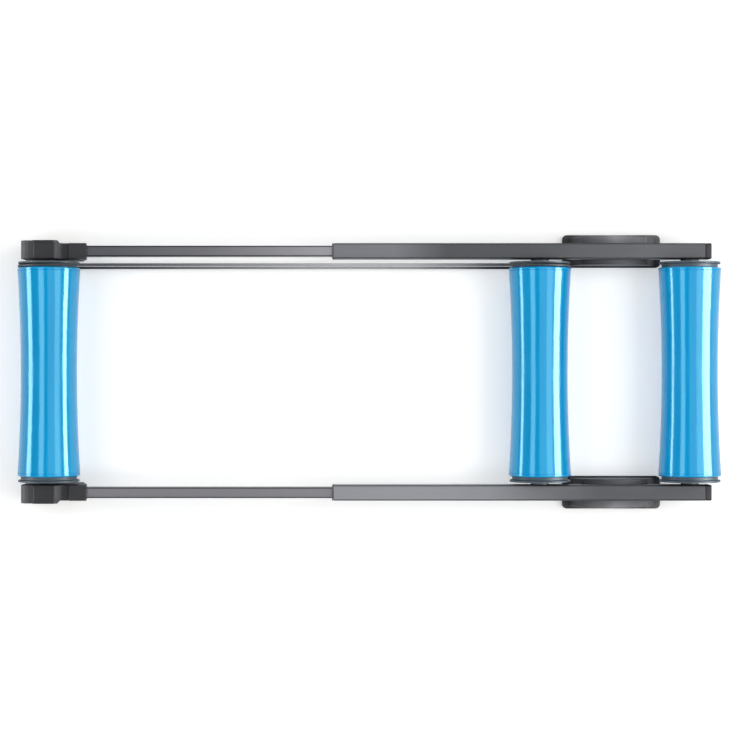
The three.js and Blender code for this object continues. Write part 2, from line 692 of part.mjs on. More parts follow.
// Rubber pad under a rear foot
function rearPadGeometry() {
  const [length, width] = [FOOT_LENGTH - 2 * PAD_INSET, FOOT_WIDTH - 2 * PAD_INSET];
  const corner = FOOT_CORNER - PAD_INSET;
  const pad = plate(roundedRectangle(length, width, corner), REAR_PAD_THICKNESS - FIT);
  return pad.translate(FOOT_X, FOOT_INNER_EDGE + FOOT_WIDTH / 2, 0);
}

// Bolt up through a foot into the rail
function footBoltGeometry() {
  const headTop = FOOT_CEILING - FIT;
  const tip = RAIL_UNDERSIDE + RAIL_WALL - FIT;
  return carve([
    rodAlongZ(BOLT_HEAD_RADIUS, headTop - BOLT_HEAD_HEIGHT, headTop),
    rodAlongZ(BOLT_RADIUS, headTop - BITE, tip),
  ]);
}

// Drive belt: a round cord in the grooves of the front and the middle cap on the belt side
class BeltPath extends THREE.Curve {
  constructor(radius) {
    super();
    this.radius = radius;
    this.span = MIDDLE_X - FRONT_X;
    this.arc = Math.PI * radius;
    this.total = 2 * (this.span + this.arc);
  }

  getPoint(share, target = new THREE.Vector3()) {
    const along = share * this.total;
    const y = DRUM_HALF + GROOVE_FLOOR / 2;
    if (along < this.span) return target.set(FRONT_X + along, y, AXLE_HEIGHT + this.radius);
    if (along < this.span + this.arc) return this.around(MIDDLE_X, along - this.span, 1, y, target);
    const back = along - this.span - this.arc;
    if (back < this.span) return target.set(MIDDLE_X - back, y, AXLE_HEIGHT - this.radius);
    return this.around(FRONT_X, back - this.span, -1, y, target);
  }

  around(centreX, along, side, y, target) {
    const angle = along / this.radius;
    const x = centreX + side * this.radius * Math.sin(angle);
    return target.set(x, y, AXLE_HEIGHT + side * this.radius * Math.cos(angle));
  }
}

// The belt's rings stand square to it: two on each straight run, and one at each step of an arc.
function beltGeometry() {
  const path = new BeltPath(GROOVE_RADIUS + FIT + BELT_DIAMETER / 2);
  const stations = [];
  for (let half = 0; half < 2; half++) {
    const start = (half * path.total) / 2;
    for (let i = 0; i <= BELT_ARC_STEPS; i++) {
      stations.push((start + path.span + (path.arc * i) / BELT_ARC_STEPS) / path.total);
    }
  }
  const positions = [];
  const step = 1 / path.total;
  for (const share of stations) {
    const centre = path.getPoint(share % 1);
    const ahead = path.getPoint((share + step) % 1).sub(path.getPoint((share - step + 1) % 1));
    const tangent = ahead.normalize();
    const across = new THREE.Vector3(0, 1, 0);
    const normal = new THREE.Vector3().crossVectors(tangent, across);
    for (let side = 0; side < BELT_SIDES; side++) {
      const angle = (side * 2 * Math.PI) / BELT_SIDES;
      const point = centre
        .clone()
        .addScaledVector(across, (Math.cos(angle) * BELT_DIAMETER) / 2)
        .addScaledVector(normal, (Math.sin(angle) * BELT_DIAMETER) / 2);
      positions.push(point.x, point.y, point.z);
    }
  }
  const index = [];
  stations.forEach((_, ring) => {
    const next = (ring + 1) % stations.length;
    for (let side = 0; side < BELT_SIDES; side++) {
      const turn = (side + 1) % BELT_SIDES;
      const [a, b] = [ring * BELT_SIDES + side, ring * BELT_SIDES + turn];
      const [c, d] = [next * BELT_SIDES + side, next * BELT_SIDES + turn];
      index.push(a, b, c, b, d, c);
    }
  });
  const geometry = new THREE.BufferGeometry();
  geometry.setAttribute("position", new THREE.Float32BufferAttribute(positions, 3));
  geometry.setIndex(index);
  geometry.computeVertexNormals();
  return geometry;
}

// Assembly
function named(name, geometry, material) {
  const mesh = new THREE.Mesh(geometry, material);
  mesh.name = name;
  return mesh;
}

// The right side is the belt side, and the left side is its mirror image.
const SIDES = [
  { side: "right", mirror: 1 },
  { side: "left", mirror: -1 },
];

function addPair(group, nameOf, geometry, material) {
  for (const { side, mirror } of SIDES) {
    const mesh = named(nameOf(side), geometry, material);
    mesh.scale.y = mirror;
    group.add(mesh);
  }
}

function roller(place, axleHalfLength) {
  const group = new THREE.Group();
  const onAxle = new THREE.Group();
  onAxle.position.z = AXLE_HEIGHT;
  group.add(onAxle);
  onAxle.add(named(`${place}_drum`, drumGeometry(), BLUE_DRUM));
  onAxle.add(named(`${place}_axle`, axleGeometry(axleHalfLength), STEEL));
  addPair(onAxle, (side) => `${place}_end_cap_${side}`, endCapGeometry(), GREY_CAP);
  addPair(onAxle, (side) => `${place}_bearing_outer_race_${side}`, outerRaceGeometry(), STEEL);
  addPair(onAxle, (side) => `${place}_bearing_balls_${side}`, ballCageGeometry(), STEEL);
  addPair(onAxle, (side) => `${place}_bearing_inner_race_${side}`, innerRaceGeometry(), STEEL);
  const screw = setScrewGeometry().translate(0, SET_SCREW_Y, 0);
  addPair(group, (side) => `${place}_axle_set_screw_${side}`, screw, BLACK_PLASTIC);
  return group;
}

const rollers = new THREE.Group();
const railAxleHalf = RAIL_INNER_FACE + RAIL_WALL - FIT;
const frontAxleHalf = RAIL_INNER_FACE + AXLE_BORE_DEPTH - FIT;

for (const { place, x, half } of [
  { place: "front", x: FRONT_X, half: frontAxleHalf },
  { place: "middle", x: MIDDLE_X, half: railAxleHalf },
  { place: "rear", x: REAR_X, half: railAxleHalf },
]) {
  const group = roller(place, half);
  group.position.x = x;
  rollers.add(group);
}

const rearFrame = new THREE.Group();
addPair(rearFrame, (side) => `outer_rail_${side}`, outerRailGeometry(), RAIL_PAINT);
addPair(rearFrame, (side) => `rail_end_plug_${side}`, endPlugGeometry(), BLACK_PLASTIC);
addPair(rearFrame, (side) => `rail_mouth_bush_${side}`, mouthBushGeometry(), GREY_GUIDE);
addPair(rearFrame, (side) => `rear_foot_${side}`, rearFootGeometry(), BLACK_PLASTIC);
addPair(rearFrame, (side) => `rear_pad_${side}`, rearPadGeometry(), RUBBER);
addPair(rearFrame, (side) => `foot_bolt_${side}`, footBoltGeometry().translate(FOOT_X, RAIL_Y, 0), STEEL);
const knob = lockKnobGeometry().translate(LOCK_X, RAIL_Y, 0);
addPair(rearFrame, (side) => `lock_knob_${side}`, knob, BLACK_PLASTIC);

const frontFrame = new THREE.Group();
addPair(frontFrame, (side) => `inner_rail_${side}`, innerRailGeometry(), INNER_RAIL_METAL);
addPair(frontFrame, (side) => `inner_rail_slider_${side}`, sliderGeometry(), GREY_GUIDE);
addPair(frontFrame, (side) => `front_bracket_${side}`, frontBracketGeometry(), BLACK_PLASTIC);
addPair(frontFrame, (side) => `front_pad_${side}`, frontPadGeometry(), RUBBER);

const bikeRollers = new THREE.Group();
bikeRollers.add(rollers, rearFrame, frontFrame, named("drive_belt", beltGeometry(), BLACK_BELT));

export default bikeRollers;
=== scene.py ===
# %% [markdown]
# # Bike rollers, dressed for a studio photograph
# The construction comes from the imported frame: every solid at its real size and place, in metres.
# This script keeps those places and gives each visible piece its finished surface.
# On the real object a telescoping steel frame carries three waisted plastic drums, and a belt links two.

# %% Load the fixed frame and keep its box
import json
import math

import bmesh
import bpy
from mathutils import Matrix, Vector


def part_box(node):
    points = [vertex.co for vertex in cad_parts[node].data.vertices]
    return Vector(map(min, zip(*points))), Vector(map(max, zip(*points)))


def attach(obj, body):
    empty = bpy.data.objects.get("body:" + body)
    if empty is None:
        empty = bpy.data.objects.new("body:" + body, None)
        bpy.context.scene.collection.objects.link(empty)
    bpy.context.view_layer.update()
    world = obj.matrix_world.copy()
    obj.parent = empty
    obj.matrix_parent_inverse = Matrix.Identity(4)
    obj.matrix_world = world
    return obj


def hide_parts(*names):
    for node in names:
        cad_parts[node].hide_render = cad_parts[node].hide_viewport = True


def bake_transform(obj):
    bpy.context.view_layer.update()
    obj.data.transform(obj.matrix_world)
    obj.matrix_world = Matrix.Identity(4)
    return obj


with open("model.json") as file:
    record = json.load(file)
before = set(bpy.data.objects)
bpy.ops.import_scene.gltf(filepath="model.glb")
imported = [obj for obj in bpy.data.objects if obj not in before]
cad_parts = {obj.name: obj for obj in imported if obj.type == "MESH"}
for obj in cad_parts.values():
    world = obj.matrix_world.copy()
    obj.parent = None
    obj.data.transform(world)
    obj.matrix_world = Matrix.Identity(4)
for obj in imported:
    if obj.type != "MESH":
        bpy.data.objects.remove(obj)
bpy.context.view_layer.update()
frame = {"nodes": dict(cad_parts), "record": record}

# %% [markdown]
# ## The camera
# The photograph looks straight down on the object, and its sides show a little perspective.
# An orthographic camera would lose it, so this one has a lens and stands 3.75 m up, which gives as much.
# The lens is worked out from the width that the picture covers. The object sits a pixel or two off the
# middle of the picture, so the camera stands a few millimetres off the middle of the object.

# %% Look straight down on the object
PICTURE_PIXELS = 740
METRES_PER_PIXEL = 0.001923  # at the height of the axles
CAMERA_HEIGHT = 3.75
PICTURE_CENTRE_PIXEL = (369.3, 371.9)  # where the photograph shows the object's middle

axle_height = sum(corner.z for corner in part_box("front_axle")) / 2
camera_data = bpy.data.cameras.new("top_camera")
camera = bpy.data.objects.new("top_camera", camera_data)
bpy.context.scene.collection.objects.link(camera)
picture_width = PICTURE_PIXELS * METRES_PER_PIXEL
camera_data.lens = camera_data.sensor_width * (CAMERA_HEIGHT - axle_height) / picture_width
half_picture = PICTURE_PIXELS / 2
camera.location = (
    (half_picture - PICTURE_CENTRE_PIXEL[0]) * METRES_PER_PIXEL,
    (PICTURE_CENTRE_PIXEL[1] - half_picture) * METRES_PER_PIXEL,
    CAMERA_HEIGHT,
)
bpy.context.scene.camera = camera
bpy.context.scene.view_settings.view_transform = "Standard"
print("lens", round(camera_data.lens, 1), "mm")

# %% [markdown]
# ## Writing finishes as arithmetic
# A finish is a small network of nodes. Wired by hand it soon hides what it does, so one class wraps a
# socket and gives it Python's operators: `0.2 + 0.1 * grain` then adds the two Math nodes by itself.
# Colours are mixed with a Mix node, because a Math node would turn them grey.

# %% A socket that does arithmetic
class Value:
    """The output of a node, with Python's operators for shader maths."""

    def __init__(self, network, socket):
        self.network = network
        self.socket = socket

    def maths(self, operation, first, second=0.0, clamp=False):
        settings = {"operation": operation, "use_clamp": clamp}
        return self.network.node("ShaderNodeMath", settings, {0: first, 1: second})

    def __add__(self, other):
        return self.maths("ADD", self, other)

    def __radd__(self, other):
        return self.maths("ADD", other, self)

    def __sub__(self, other):
        return self.maths("SUBTRACT", self, other)

    def __rsub__(self, other):
        return self.maths("SUBTRACT", other, self)

    def __mul__(self, other):
        return self.maths("MULTIPLY", self, other)

    def __rmul__(self, other):
        return self.maths("MULTIPLY", other, self)

    def __truediv__(self, other):
        return self.maths("DIVIDE", self, other)

    def __rtruediv__(self, other):
        return self.maths("DIVIDE", other, self)

    def __abs__(self):
        return self.maths("ABSOLUTE", self)

    def clamped(self):
        return self.maths("ADD", self, 0.0, clamp=True)


# %% A network of nodes, and the one way to add to it
class Network:
    """The nodes of a material or of the world."""

    def __init__(self, tree):
        self.tree = tree

    def node(self, kind, settings=None, inputs=None, output=0):
        """Adds any node: its settings first, then the values or links of its sockets."""
        made = self.tree.nodes.new(kind)
        for name, value in (settings or {}).items():
            if name == "stops":
                self.set_stops(made.color_ramp, value)
            else:
                setattr(made, name, value)
        for key, value in (inputs or {}).items():
            if isinstance(value, Value):
                self.tree.links.new(value.socket, made.inputs[key])
            else:
                made.inputs[key].default_value = value
        return Value(self, made.outputs[output])

    def set_stops(self, ramp, stops):
        """Puts grey levels at their places along a ramp."""
        while len(ramp.elements) < len(stops):
            ramp.elements.new(0.5)  # the next lines move it to its own place
        for element, (place, level) in zip(ramp.elements, stops):
            element.position = place
            element.color = (level, level, level, 1.0)

    def ramp(self, value, stops):
        """A curve through stops of (place, level), read at the value."""
        return self.node("ShaderNodeValToRGB", {"stops": stops}, {"Fac": value})

    def blend(self, first, second, share):
        """The first colour where the share is 0, and the second where it is 1."""
        inputs = {0: share, 6: first, 7: second}
        return self.node("ShaderNodeMix", {"data_type": "RGBA"}, inputs, output=2)


# %% A finish: one Principled shader and the nodes that feed it
UNSTRETCHED = (1.0, 1.0, 1.0)


class Finish(Network):
    """A material built around one Principled shader."""

    def __init__(self, name, **uniform):
        self.material = bpy.data.materials.new(name)
        self.material.use_nodes = True
        super().__init__(self.material.node_tree)
        self.shader = self.tree.nodes["Principled BSDF"]
        for socket, value in uniform.items():
            self.shader.inputs[socket.replace("_", " ")].default_value = value

    def place(self, stretch=UNSTRETCHED):
        """The point on the piece, in metres, stretched along the axes."""
        point = self.node("ShaderNodeTexCoord", output="Object")
        return self.node("ShaderNodeMapping", {}, {"Vector": point, "Scale": stretch})

    def noise(self, scale, detail=2.0, stretch=UNSTRETCHED):
        """Soft random values. A stretch under 1 draws them out along that axis."""
        inputs = {"Vector": self.place(stretch), "Scale": scale, "Detail": detail}
        return self.node("ShaderNodeTexNoise", {}, inputs)

    def axis(self, name):
        """The piece's own X, Y or Z, in metres."""
        return self.node("ShaderNodeSeparateXYZ", {}, {"Vector": self.place()}, output=name)

    def feed(self, **inputs):
        """Links values to sockets of the Principled shader."""
        for name, value in inputs.items():
            self.tree.links.new(value.socket, self.shader.inputs[name.replace("_", " ")])

    def bump(self, height, depth):
        """Makes a height of 1 stand that many metres out of the surface."""
        self.feed(Normal=self.node("ShaderNodeBump", {}, {"Height": height, "Distance": depth}))


def srgb(red, green, blue):
    """A colour given as the screen shows it, from 0 to 255, as the linear values that shaders use."""
    def linear(level):  # the numbers are those of the sRGB standard
        share = level / 255
        return share / 12.92 if share <= 0.04045 else ((share + 0.055) / 1.055) ** 2.4

    return (linear(red), linear(green), linear(blue), 1.0)


# %% [markdown]
# ## The drums' blue
# The drums are moulded in one bright blue and come out of a polished mould, so they are glossy.
# Their reflections run along them but are never quite straight: the wall shrinks unevenly as it cools.
# A painted texture could show that, but it would have to be unwrapped, and its stripes would turn with
# the drum. So a broad, shallow bump gives the waver, and a very fine one keeps the gloss from looking
# like glass. The photograph's stripes are pale cyan at their edges, so the gloss has a tint. Tyres have
# scuffed the middle of each drum a little.

# %% Glossy blue plastic
DRUM_DEEP_BLUE = srgb(0, 154, 217)
DRUM_SKY_BLUE = srgb(4, 166, 227)
GLOSS_TINT = (0.48, 0.95, 1.0, 1.0)
GLOSS_IOR = 1.5
FLOW_SCALE = 30.0  # soft streaks of the two blues, along the drum
SPECKLE_SCALE = 900.0
SPECKLE_HEIGHT = 0.003  # as a share of the waver's
WAVER_SCALE = 9.0
WAVER_DEPTH = 0.0012
TYRE_TRACK_HALF_WIDTH = 0.05
TYRE_SCUFF_SCALE = 260.0


def drum_blue():
    finish = Finish("drum_blue_gloss", IOR=GLOSS_IOR, Specular_IOR_Level=0.8, Specular_Tint=GLOSS_TINT)
    flow = finish.noise(FLOW_SCALE, detail=3.0, stretch=(1.0, 0.06, 1.0))
    speckle = finish.noise(SPECKLE_SCALE, detail=1.0)
    tone = finish.ramp(flow, [(0.35, 0.0), (0.65, 1.0)])
    finish.feed(Base_Color=finish.blend(DRUM_DEEP_BLUE, DRUM_SKY_BLUE, tone))
    from_middle = abs(finish.axis("Y")) / TYRE_TRACK_HALF_WIDTH
    track = (1.0 - from_middle).clamped()
    scuff_and_sheen = track * finish.noise(TYRE_SCUFF_SCALE, detail=4.0, stretch=(1.0, 3.0, 1.0))
    finish.feed(Roughness=0.1 + 0.05 * speckle + 0.09 * scuff_and_sheen)
    waver = finish.noise(WAVER_SCALE, detail=2.0, stretch=(1.0, 0.5, 1.0))
    finish.bump(waver + SPECKLE_HEIGHT * speckle, depth=WAVER_DEPTH)
    return finish.material


# %% [markdown]
# ## Greys and blacks
# The end caps are a satin grey moulding, and the brackets and feet a satin black one.
# Moulded plastic like this has a fine grain that the mould is etched with, so the grain sits in the bump
# and in the roughness together. The rails are painted steel: smoother, with a faint orange peel.
# A single colour for each would look new and flat. The brackets and feet get scuffs mixed with a painted
# sheen where they catch the light and painted shade at their ends, and the rails a painted sheen along
# their length and painted shade along their corners. Each of these marks is a curve along the piece,
# read off at the point that is shaded, so it needs no texture image.

# %% Satin grey caps and grained black fittings
CAP_GREY = srgb(84, 98, 108)
CAP_DARK_GREY = srgb(64, 77, 86)
FITTING_BLACK = srgb(34, 35, 39)
FITTING_CHARCOAL = srgb(49, 50, 55)
# Painted shade: the feet get a darker black than the other fittings, so that their ends look shaded.
FOOT_SHADE_BLACK = srgb(15, 16, 19)
# Scuffs and painted sheen lighten a fitting towards this grey. The stops below mix wear with a painted
# sheen on the lit arch and shelf.
SCUFF_AND_SHEEN_GREY = srgb(150, 149, 154)
OUTER_SCUFF_AND_SHEEN = [
    (0.0, 0.14), (0.08, 0.08), (0.29, 0.5), (0.39, 0.64), (0.5, 1.0),
    (0.65, 0.55), (0.8, 0.2), (0.93, 0.4), (1.0, 0.5),
]
INNER_SCUFF_AND_SHEEN = [(0.2, 0.0), (0.35, 0.08), (0.5, 0.2), (0.61, 0.26), (0.72, 0.16), (0.85, 0.0)]
BRACKET_SCUFF_AND_SHEEN = [
    (0.0, 0.26), (0.1, 0.28), (0.14, 0.14), (0.18, 0.02), (0.5, 0.0), (0.56, 0.06), (0.66, 0.02),
]
GUIDE_GREY = srgb(92, 92, 96)
GUIDE_DARK_GREY = srgb(74, 74, 78)
PLASTIC_IOR = 1.46
MOTTLE_SCALE = 22.0
SCUFF_MOTTLE_SCALE = 30.0
BLACK_GRAIN_SCALE = 900.0
BLACK_GRAIN_DEPTH = 0.0001


def moulded(name, dark, light, roughness, grain_scale, grain_depth, shine=0.5):
    """Grained plastic between two shades of one colour."""
    finish = Finish(name, IOR=PLASTIC_IOR, Specular_IOR_Level=shine)
    mottle = finish.noise(MOTTLE_SCALE, detail=3.0)
    grain = finish.noise(grain_scale)
    finish.feed(Base_Color=finish.blend(dark, light, 0.75 * mottle + 0.25 * grain))
    finish.feed(Roughness=roughness + 0.14 * grain + 0.06 * mottle)
    finish.bump(grain, depth=grain_depth)
    return finish.material


# %% Scuffs and painted sheen along a fitting
def scuffed_with_sheen(name, low, high, black, inner_stops, outer_stops):
    """Black grained plastic, scuffed and given a painted sheen and shade by its own stops along each side.
    """
    finish = Finish(name, IOR=PLASTIC_IOR, Specular_IOR_Level=0.35)
    along = ((finish.axis("X") - low.x) / (high.x - low.x)).clamped()
    outwards = ((abs(finish.axis("Y")) - low.y) / (high.y - low.y)).clamped()
    mottle = finish.noise(SCUFF_MOTTLE_SCALE, detail=4.0)
    grain = finish.noise(BLACK_GRAIN_SCALE)
    inner = finish.ramp(along, inner_stops)
    outer = finish.ramp(along, outer_stops)
    # wear mixed with painted sheen on the lit parts, and painted shade where the stops fall to nothing
    scuff_and_sheen = outwards * outer + (1.0 - outwards) * inner
    scuff_and_sheen = scuff_and_sheen * (0.85 + 0.3 * mottle) + 0.06 * grain
    finish.feed(Base_Color=finish.blend(black, SCUFF_AND_SHEEN_GREY, scuff_and_sheen.clamped()))
    finish.feed(Roughness=0.42 + 0.14 * grain + 0.1 * mottle)
    finish.bump(grain, depth=BLACK_GRAIN_DEPTH)
    return finish.material


# %% Painted and sliding steel
# Painted sheen and shade: lit and shaded greys of the rail paint and of the sliding steel, and their
# course along each side.
RAIL_LIT_GREY = srgb(148, 149, 154)
RAIL_SHADED_GREY = srgb(59, 61, 66)
SLIDE_LIT_GREY = srgb(158, 157, 161)
SLIDE_SHADED_GREY = srgb(82, 83, 88)
LEFT_RAIL_SHEEN = [(0.0, 1.0), (0.25, 1.0), (0.42, 0.85), (0.6, 0.3), (0.72, 0.06), (1.0, 0.02)]
RIGHT_RAIL_SHEEN = [
    (0.0, 0.54), (0.17, 0.58), (0.31, 0.08), (0.56, 0.08), (0.72, 0.13), (0.86, 0.16), (1.0, 0.04),
]
LEFT_SLIDE_SHEEN = [(0.0, 0.45), (0.95, 0.62)]
RIGHT_SLIDE_SHEEN = [(0.0, 0.0), (0.15, 0.04), (0.5, 0.34), (0.95, 1.0)]
LEFT_SIDE_CONTRAST = 1000.0  # one side's marks give way to the other's within a millimetre
MARKS_WANDER = 0.06  # how far clouds of noise shift a mark along a rail, as a share of its length
PAINT_IOR = 1.5
PAINT_CLOUD_SCALE = 6.0
PEEL_SCALE = 700.0
PEEL_DEPTH = 0.00008
WIPED_LINES_SCALE = 500.0
WIPED_LINES_DEPTH = 0.00004
METAL_CLOUD_SCALE = 8.0
# Painted shade for the rails' long corners.
CORNER_SHADE_BLACK = srgb(24, 25, 28)
CORNER_SHADE_WIDTH = 0.0035
CORNER_SHADE_FADE = 0.002
CORNER_SHADE_SHARE = 0.75


def sheen_along(finish, along, cloud, left_stops, right_stops):
    """How much painted sheen a piece gets along its length. Each side of the frame has its own course."""
    along = (along + MARKS_WANDER * (cloud - 0.5)).clamped()
    on_left = ((0.0 - finish.axis("Y")) * LEFT_SIDE_CONTRAST).clamped()
    left = finish.ramp(along, left_stops)
    right = finish.ramp(along, right_stops)
    return on_left * left + (1.0 - on_left) * right


def shaded_corners(finish, colour, low, high):
    """Darkens a colour with painted shade along the four long corners of a rail."""
    depths = []
    for axis, from_side, to_side in (("Y", low.y, high.y), ("Z", low.z, high.z)):
        from_middle = abs(abs(finish.axis(axis)) - (from_side + to_side) / 2)
        shade_starts = (to_side - from_side) / 2 - CORNER_SHADE_WIDTH
        depths.append(((from_middle - shade_starts) / CORNER_SHADE_FADE).clamped())
    return finish.blend(colour, CORNER_SHADE_BLACK, CORNER_SHADE_SHARE * depths[0] * depths[1])


def rail_paint(low, high):
    """A painted sheen makes the paint lighter towards the mouth, and painted shade darkens its corners."""
    finish = Finish("rail_grey_paint", IOR=PAINT_IOR, Metallic=0.15)
    along = (finish.axis("X") - low.x) / (high.x - low.x)
    cloud = finish.noise(PAINT_CLOUD_SCALE, detail=3.0)
    peel = finish.noise(PEEL_SCALE)
    # painted sheen along the rail
    tone = sheen_along(finish, along, cloud, LEFT_RAIL_SHEEN, RIGHT_RAIL_SHEEN)
    paint = finish.blend(RAIL_SHADED_GREY, RAIL_LIT_GREY, tone)
    # painted shade along the corners
    finish.feed(Base_Color=shaded_corners(finish, paint, low, high))
    finish.feed(Roughness=0.36 + 0.12 * peel + 0.08 * cloud)
    finish.bump(peel, depth=PEEL_DEPTH)
    return finish.material


def slide_metal(low, high, mouth_x):
    """Sliding tubes carry fine wiped lines along the tube, and a painted sheen that is brightest near the
    mouth.
    """
    finish = Finish("inner_rail_metal", IOR=PAINT_IOR, Metallic=0.55)
    along = (finish.axis("X") - low.x) / (mouth_x - low.x)
    lines = finish.noise(WIPED_LINES_SCALE, detail=3.0, stretch=(0.02, 1.0, 1.0))
    cloud = finish.noise(METAL_CLOUD_SCALE)
    # painted sheen along the tube, brightest near the mouth
    tone = sheen_along(finish, along, cloud, LEFT_SLIDE_SHEEN, RIGHT_SLIDE_SHEEN)
    metal = finish.blend(SLIDE_SHADED_GREY, SLIDE_LIT_GREY, tone)
    # painted shade along the corners
    finish.feed(Base_Color=shaded_corners(finish, metal, low, high))
    finish.feed(Roughness=0.3 + 0.16 * lines)
    finish.bump(lines, depth=WIPED_LINES_DEPTH)
    return finish.material


# %% [markdown]
# ## Rubber and bare steel
# The belt is a smooth elastic cord that is pulled over the grooves, and the pads are cut from coarse
# rubber. Bare steel is seen only at the axles and bearings. It is ground round its axis, so its fine
# lines run round. Ring-shaped waves would be too even for them. Noise gives them when it is drawn out
# across the axis and stays fine along it.

# %% Belt cord, pad rubber and ground steel
CORD_GREY = srgb(48, 51, 57)
# Painted light: the cord is coloured pale where it catches the glare along its run.
CORD_LIT_GREY = srgb(186, 186, 189)
CORD_GLARE = [
    (0.0, 0.0), (0.1, 0.04), (0.2, 0.13), (0.31, 0.33), (0.6, 1.0),
    (0.69, 0.95), (0.73, 0.8), (0.765, 0.55), (0.8, 0.4), (0.835, 0.14), (0.87, 0.0),
]
CORD_WANDER = 0.05
CORD_BLOOM_SCALE = 40.0
CORD_SKIN_SCALE = 1800.0
CORD_SKIN_DEPTH = 0.00006
PAD_BLACK = srgb(26, 27, 29)
PAD_DUSTY = srgb(58, 58, 60)
PAD_DUST_SCALE = 60.0
PAD_PORE_SCALE = 700.0
PAD_PORE_DEPTH = 0.00025
RUBBER_IOR = 1.45
STEEL_BRIGHT = srgb(196, 199, 203)
STEEL_DULL = srgb(140, 143, 148)
SCREW_BLACK = srgb(24, 24, 26)
SCREW_WORN = srgb(70, 70, 74)
GRINDING_SCALE = 1200.0
GRINDING_DEPTH = 0.00003
HAZE_SCALE = 90.0


def belt_cord(front_x, middle_x):
    """Painted light: the cord is coloured pale along its run, where it catches the glare, and darkest
    round the two caps.
    """
    finish = Finish("belt_elastic_cord", IOR=RUBBER_IOR)
    bloom = finish.noise(CORD_BLOOM_SCALE, detail=3.0, stretch=(0.3, 1.0, 1.0))
    skin = finish.noise(CORD_SKIN_SCALE, detail=1.0)
    along = (finish.axis("X") - front_x) / (middle_x - front_x)
    # painted glare along the run
    glare = finish.ramp((along + CORD_WANDER * (bloom - 0.5)).clamped(), CORD_GLARE)
    finish.feed(Base_Color=finish.blend(CORD_GREY, CORD_LIT_GREY, glare))
    finish.feed(Roughness=0.45 + 0.2 * skin)
    finish.bump(skin, depth=CORD_SKIN_DEPTH)
    return finish.material


def pad_rubber():
    finish = Finish("pad_coarse_rubber", IOR=RUBBER_IOR)
    dust = finish.noise(PAD_DUST_SCALE, detail=4.0)
    pores = finish.node("ShaderNodeTexVoronoi", {}, {"Vector": finish.place(), "Scale": PAD_PORE_SCALE})
    finish.feed(Base_Color=finish.blend(PAD_BLACK, PAD_DUSTY, dust * pores))
    finish.feed(Roughness=0.78 + 0.15 * dust)
    finish.bump(pores, depth=PAD_PORE_DEPTH)
    return finish.material


def ground_steel(name, bright, dull, roughness):
    finish = Finish(name, Metallic=1.0)
    lines = finish.noise(GRINDING_SCALE, stretch=(0.1, 1.0, 0.1))
    haze = finish.noise(HAZE_SCALE, detail=3.0)
    finish.feed(Base_Color=finish.blend(dull, bright, 0.5 * lines + 0.5 * haze))
    finish.feed(Roughness=roughness + 0.15 * lines + 0.1 * haze)
    finish.bump(lines, depth=GRINDING_DEPTH)
    return finish.material


# %% Measure the pieces that carry marks
# The outer rail's box takes in its bosses too, so its tube is measured from the outer, upper corner.
rail_low, rail_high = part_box("outer_rail_right")
RAIL_WIDTH = 0.03
RAIL_HEIGHT = 0.04
tube_low = Vector((rail_low.x, rail_high.y - RAIL_WIDTH, rail_high.z - RAIL_HEIGHT))
belt_front_x, belt_middle_x = (corner.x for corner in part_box("drive_belt"))
print("outer rail", round(rail_high.x - rail_low.x, 3), "m long")

# %% Make every finish once
FINISHES = {
    "blue_drum": drum_blue(),
    "grey_cap": moulded(
        "cap_satin_grey", CAP_DARK_GREY, CAP_GREY,
        roughness=0.36, grain_scale=1100.0, grain_depth=0.00006, shine=0.35,
    ),
    "belt_rubber": belt_cord(belt_front_x, belt_middle_x),
    "rail_paint": rail_paint(tube_low, rail_high),
    "inner_rail_metal": slide_metal(*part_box("inner_rail_right"), rail_low.x),
    "black_plastic": moulded(
        "fitting_black_grain", FITTING_BLACK, FITTING_CHARCOAL,
        roughness=0.4, grain_scale=BLACK_GRAIN_SCALE, grain_depth=BLACK_GRAIN_DEPTH, shine=0.3,
    ),
    "foot_scuff_and_sheen": scuffed_with_sheen(
        "foot_scuff_sheen_grain", *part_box("rear_foot_right"), FOOT_SHADE_BLACK, INNER_SCUFF_AND_SHEEN, OUTER_SCUFF_AND_SHEEN
    ),
    "bracket_scuff_and_sheen": scuffed_with_sheen(
        "bracket_scuff_sheen_grain", *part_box("front_bracket_right"),
        FITTING_BLACK, BRACKET_SCUFF_AND_SHEEN, BRACKET_SCUFF_AND_SHEEN,
    ),
    "guide_plastic": moulded(
        "guide_grey_nylon", GUIDE_DARK_GREY, GUIDE_GREY,
        roughness=0.42, grain_scale=1300.0, grain_depth=0.00005,
    ),
    "pad_rubber": pad_rubber(),
    "bright_steel": ground_steel("steel_ground", STEEL_BRIGHT, STEEL_DULL, roughness=0.22),
    "black_steel": ground_steel("steel_blackened", SCREW_WORN, SCREW_BLACK, roughness=0.4),
}
# Feet and brackets are of the record's black plastic too, each with its own scuffs, painted sheen and
# painted shade.
print(len(FINISHES), "finishes")

# %% [markdown]
# ## Making pieces
# Nearly every piece here is an outline that is either turned round an axle or given thickness.
# The pieces could be pushed and pulled out of cubes by hand, but then no size in them would have a name.
# The real mouldings have no sharp corners, so an outline is written as corners with a radius each, and
# one function rounds them. A bevel then softens the rims, and smooth shading stops at sharp edges.

# %% Round the corners of an outline
CORNER_STEPS = 5
SMALL_CORNER_STEPS = 3  # for the fine edges of turned pieces
LONGEST_REACH = 0.49  # of a side, so that the arcs at its two ends never meet


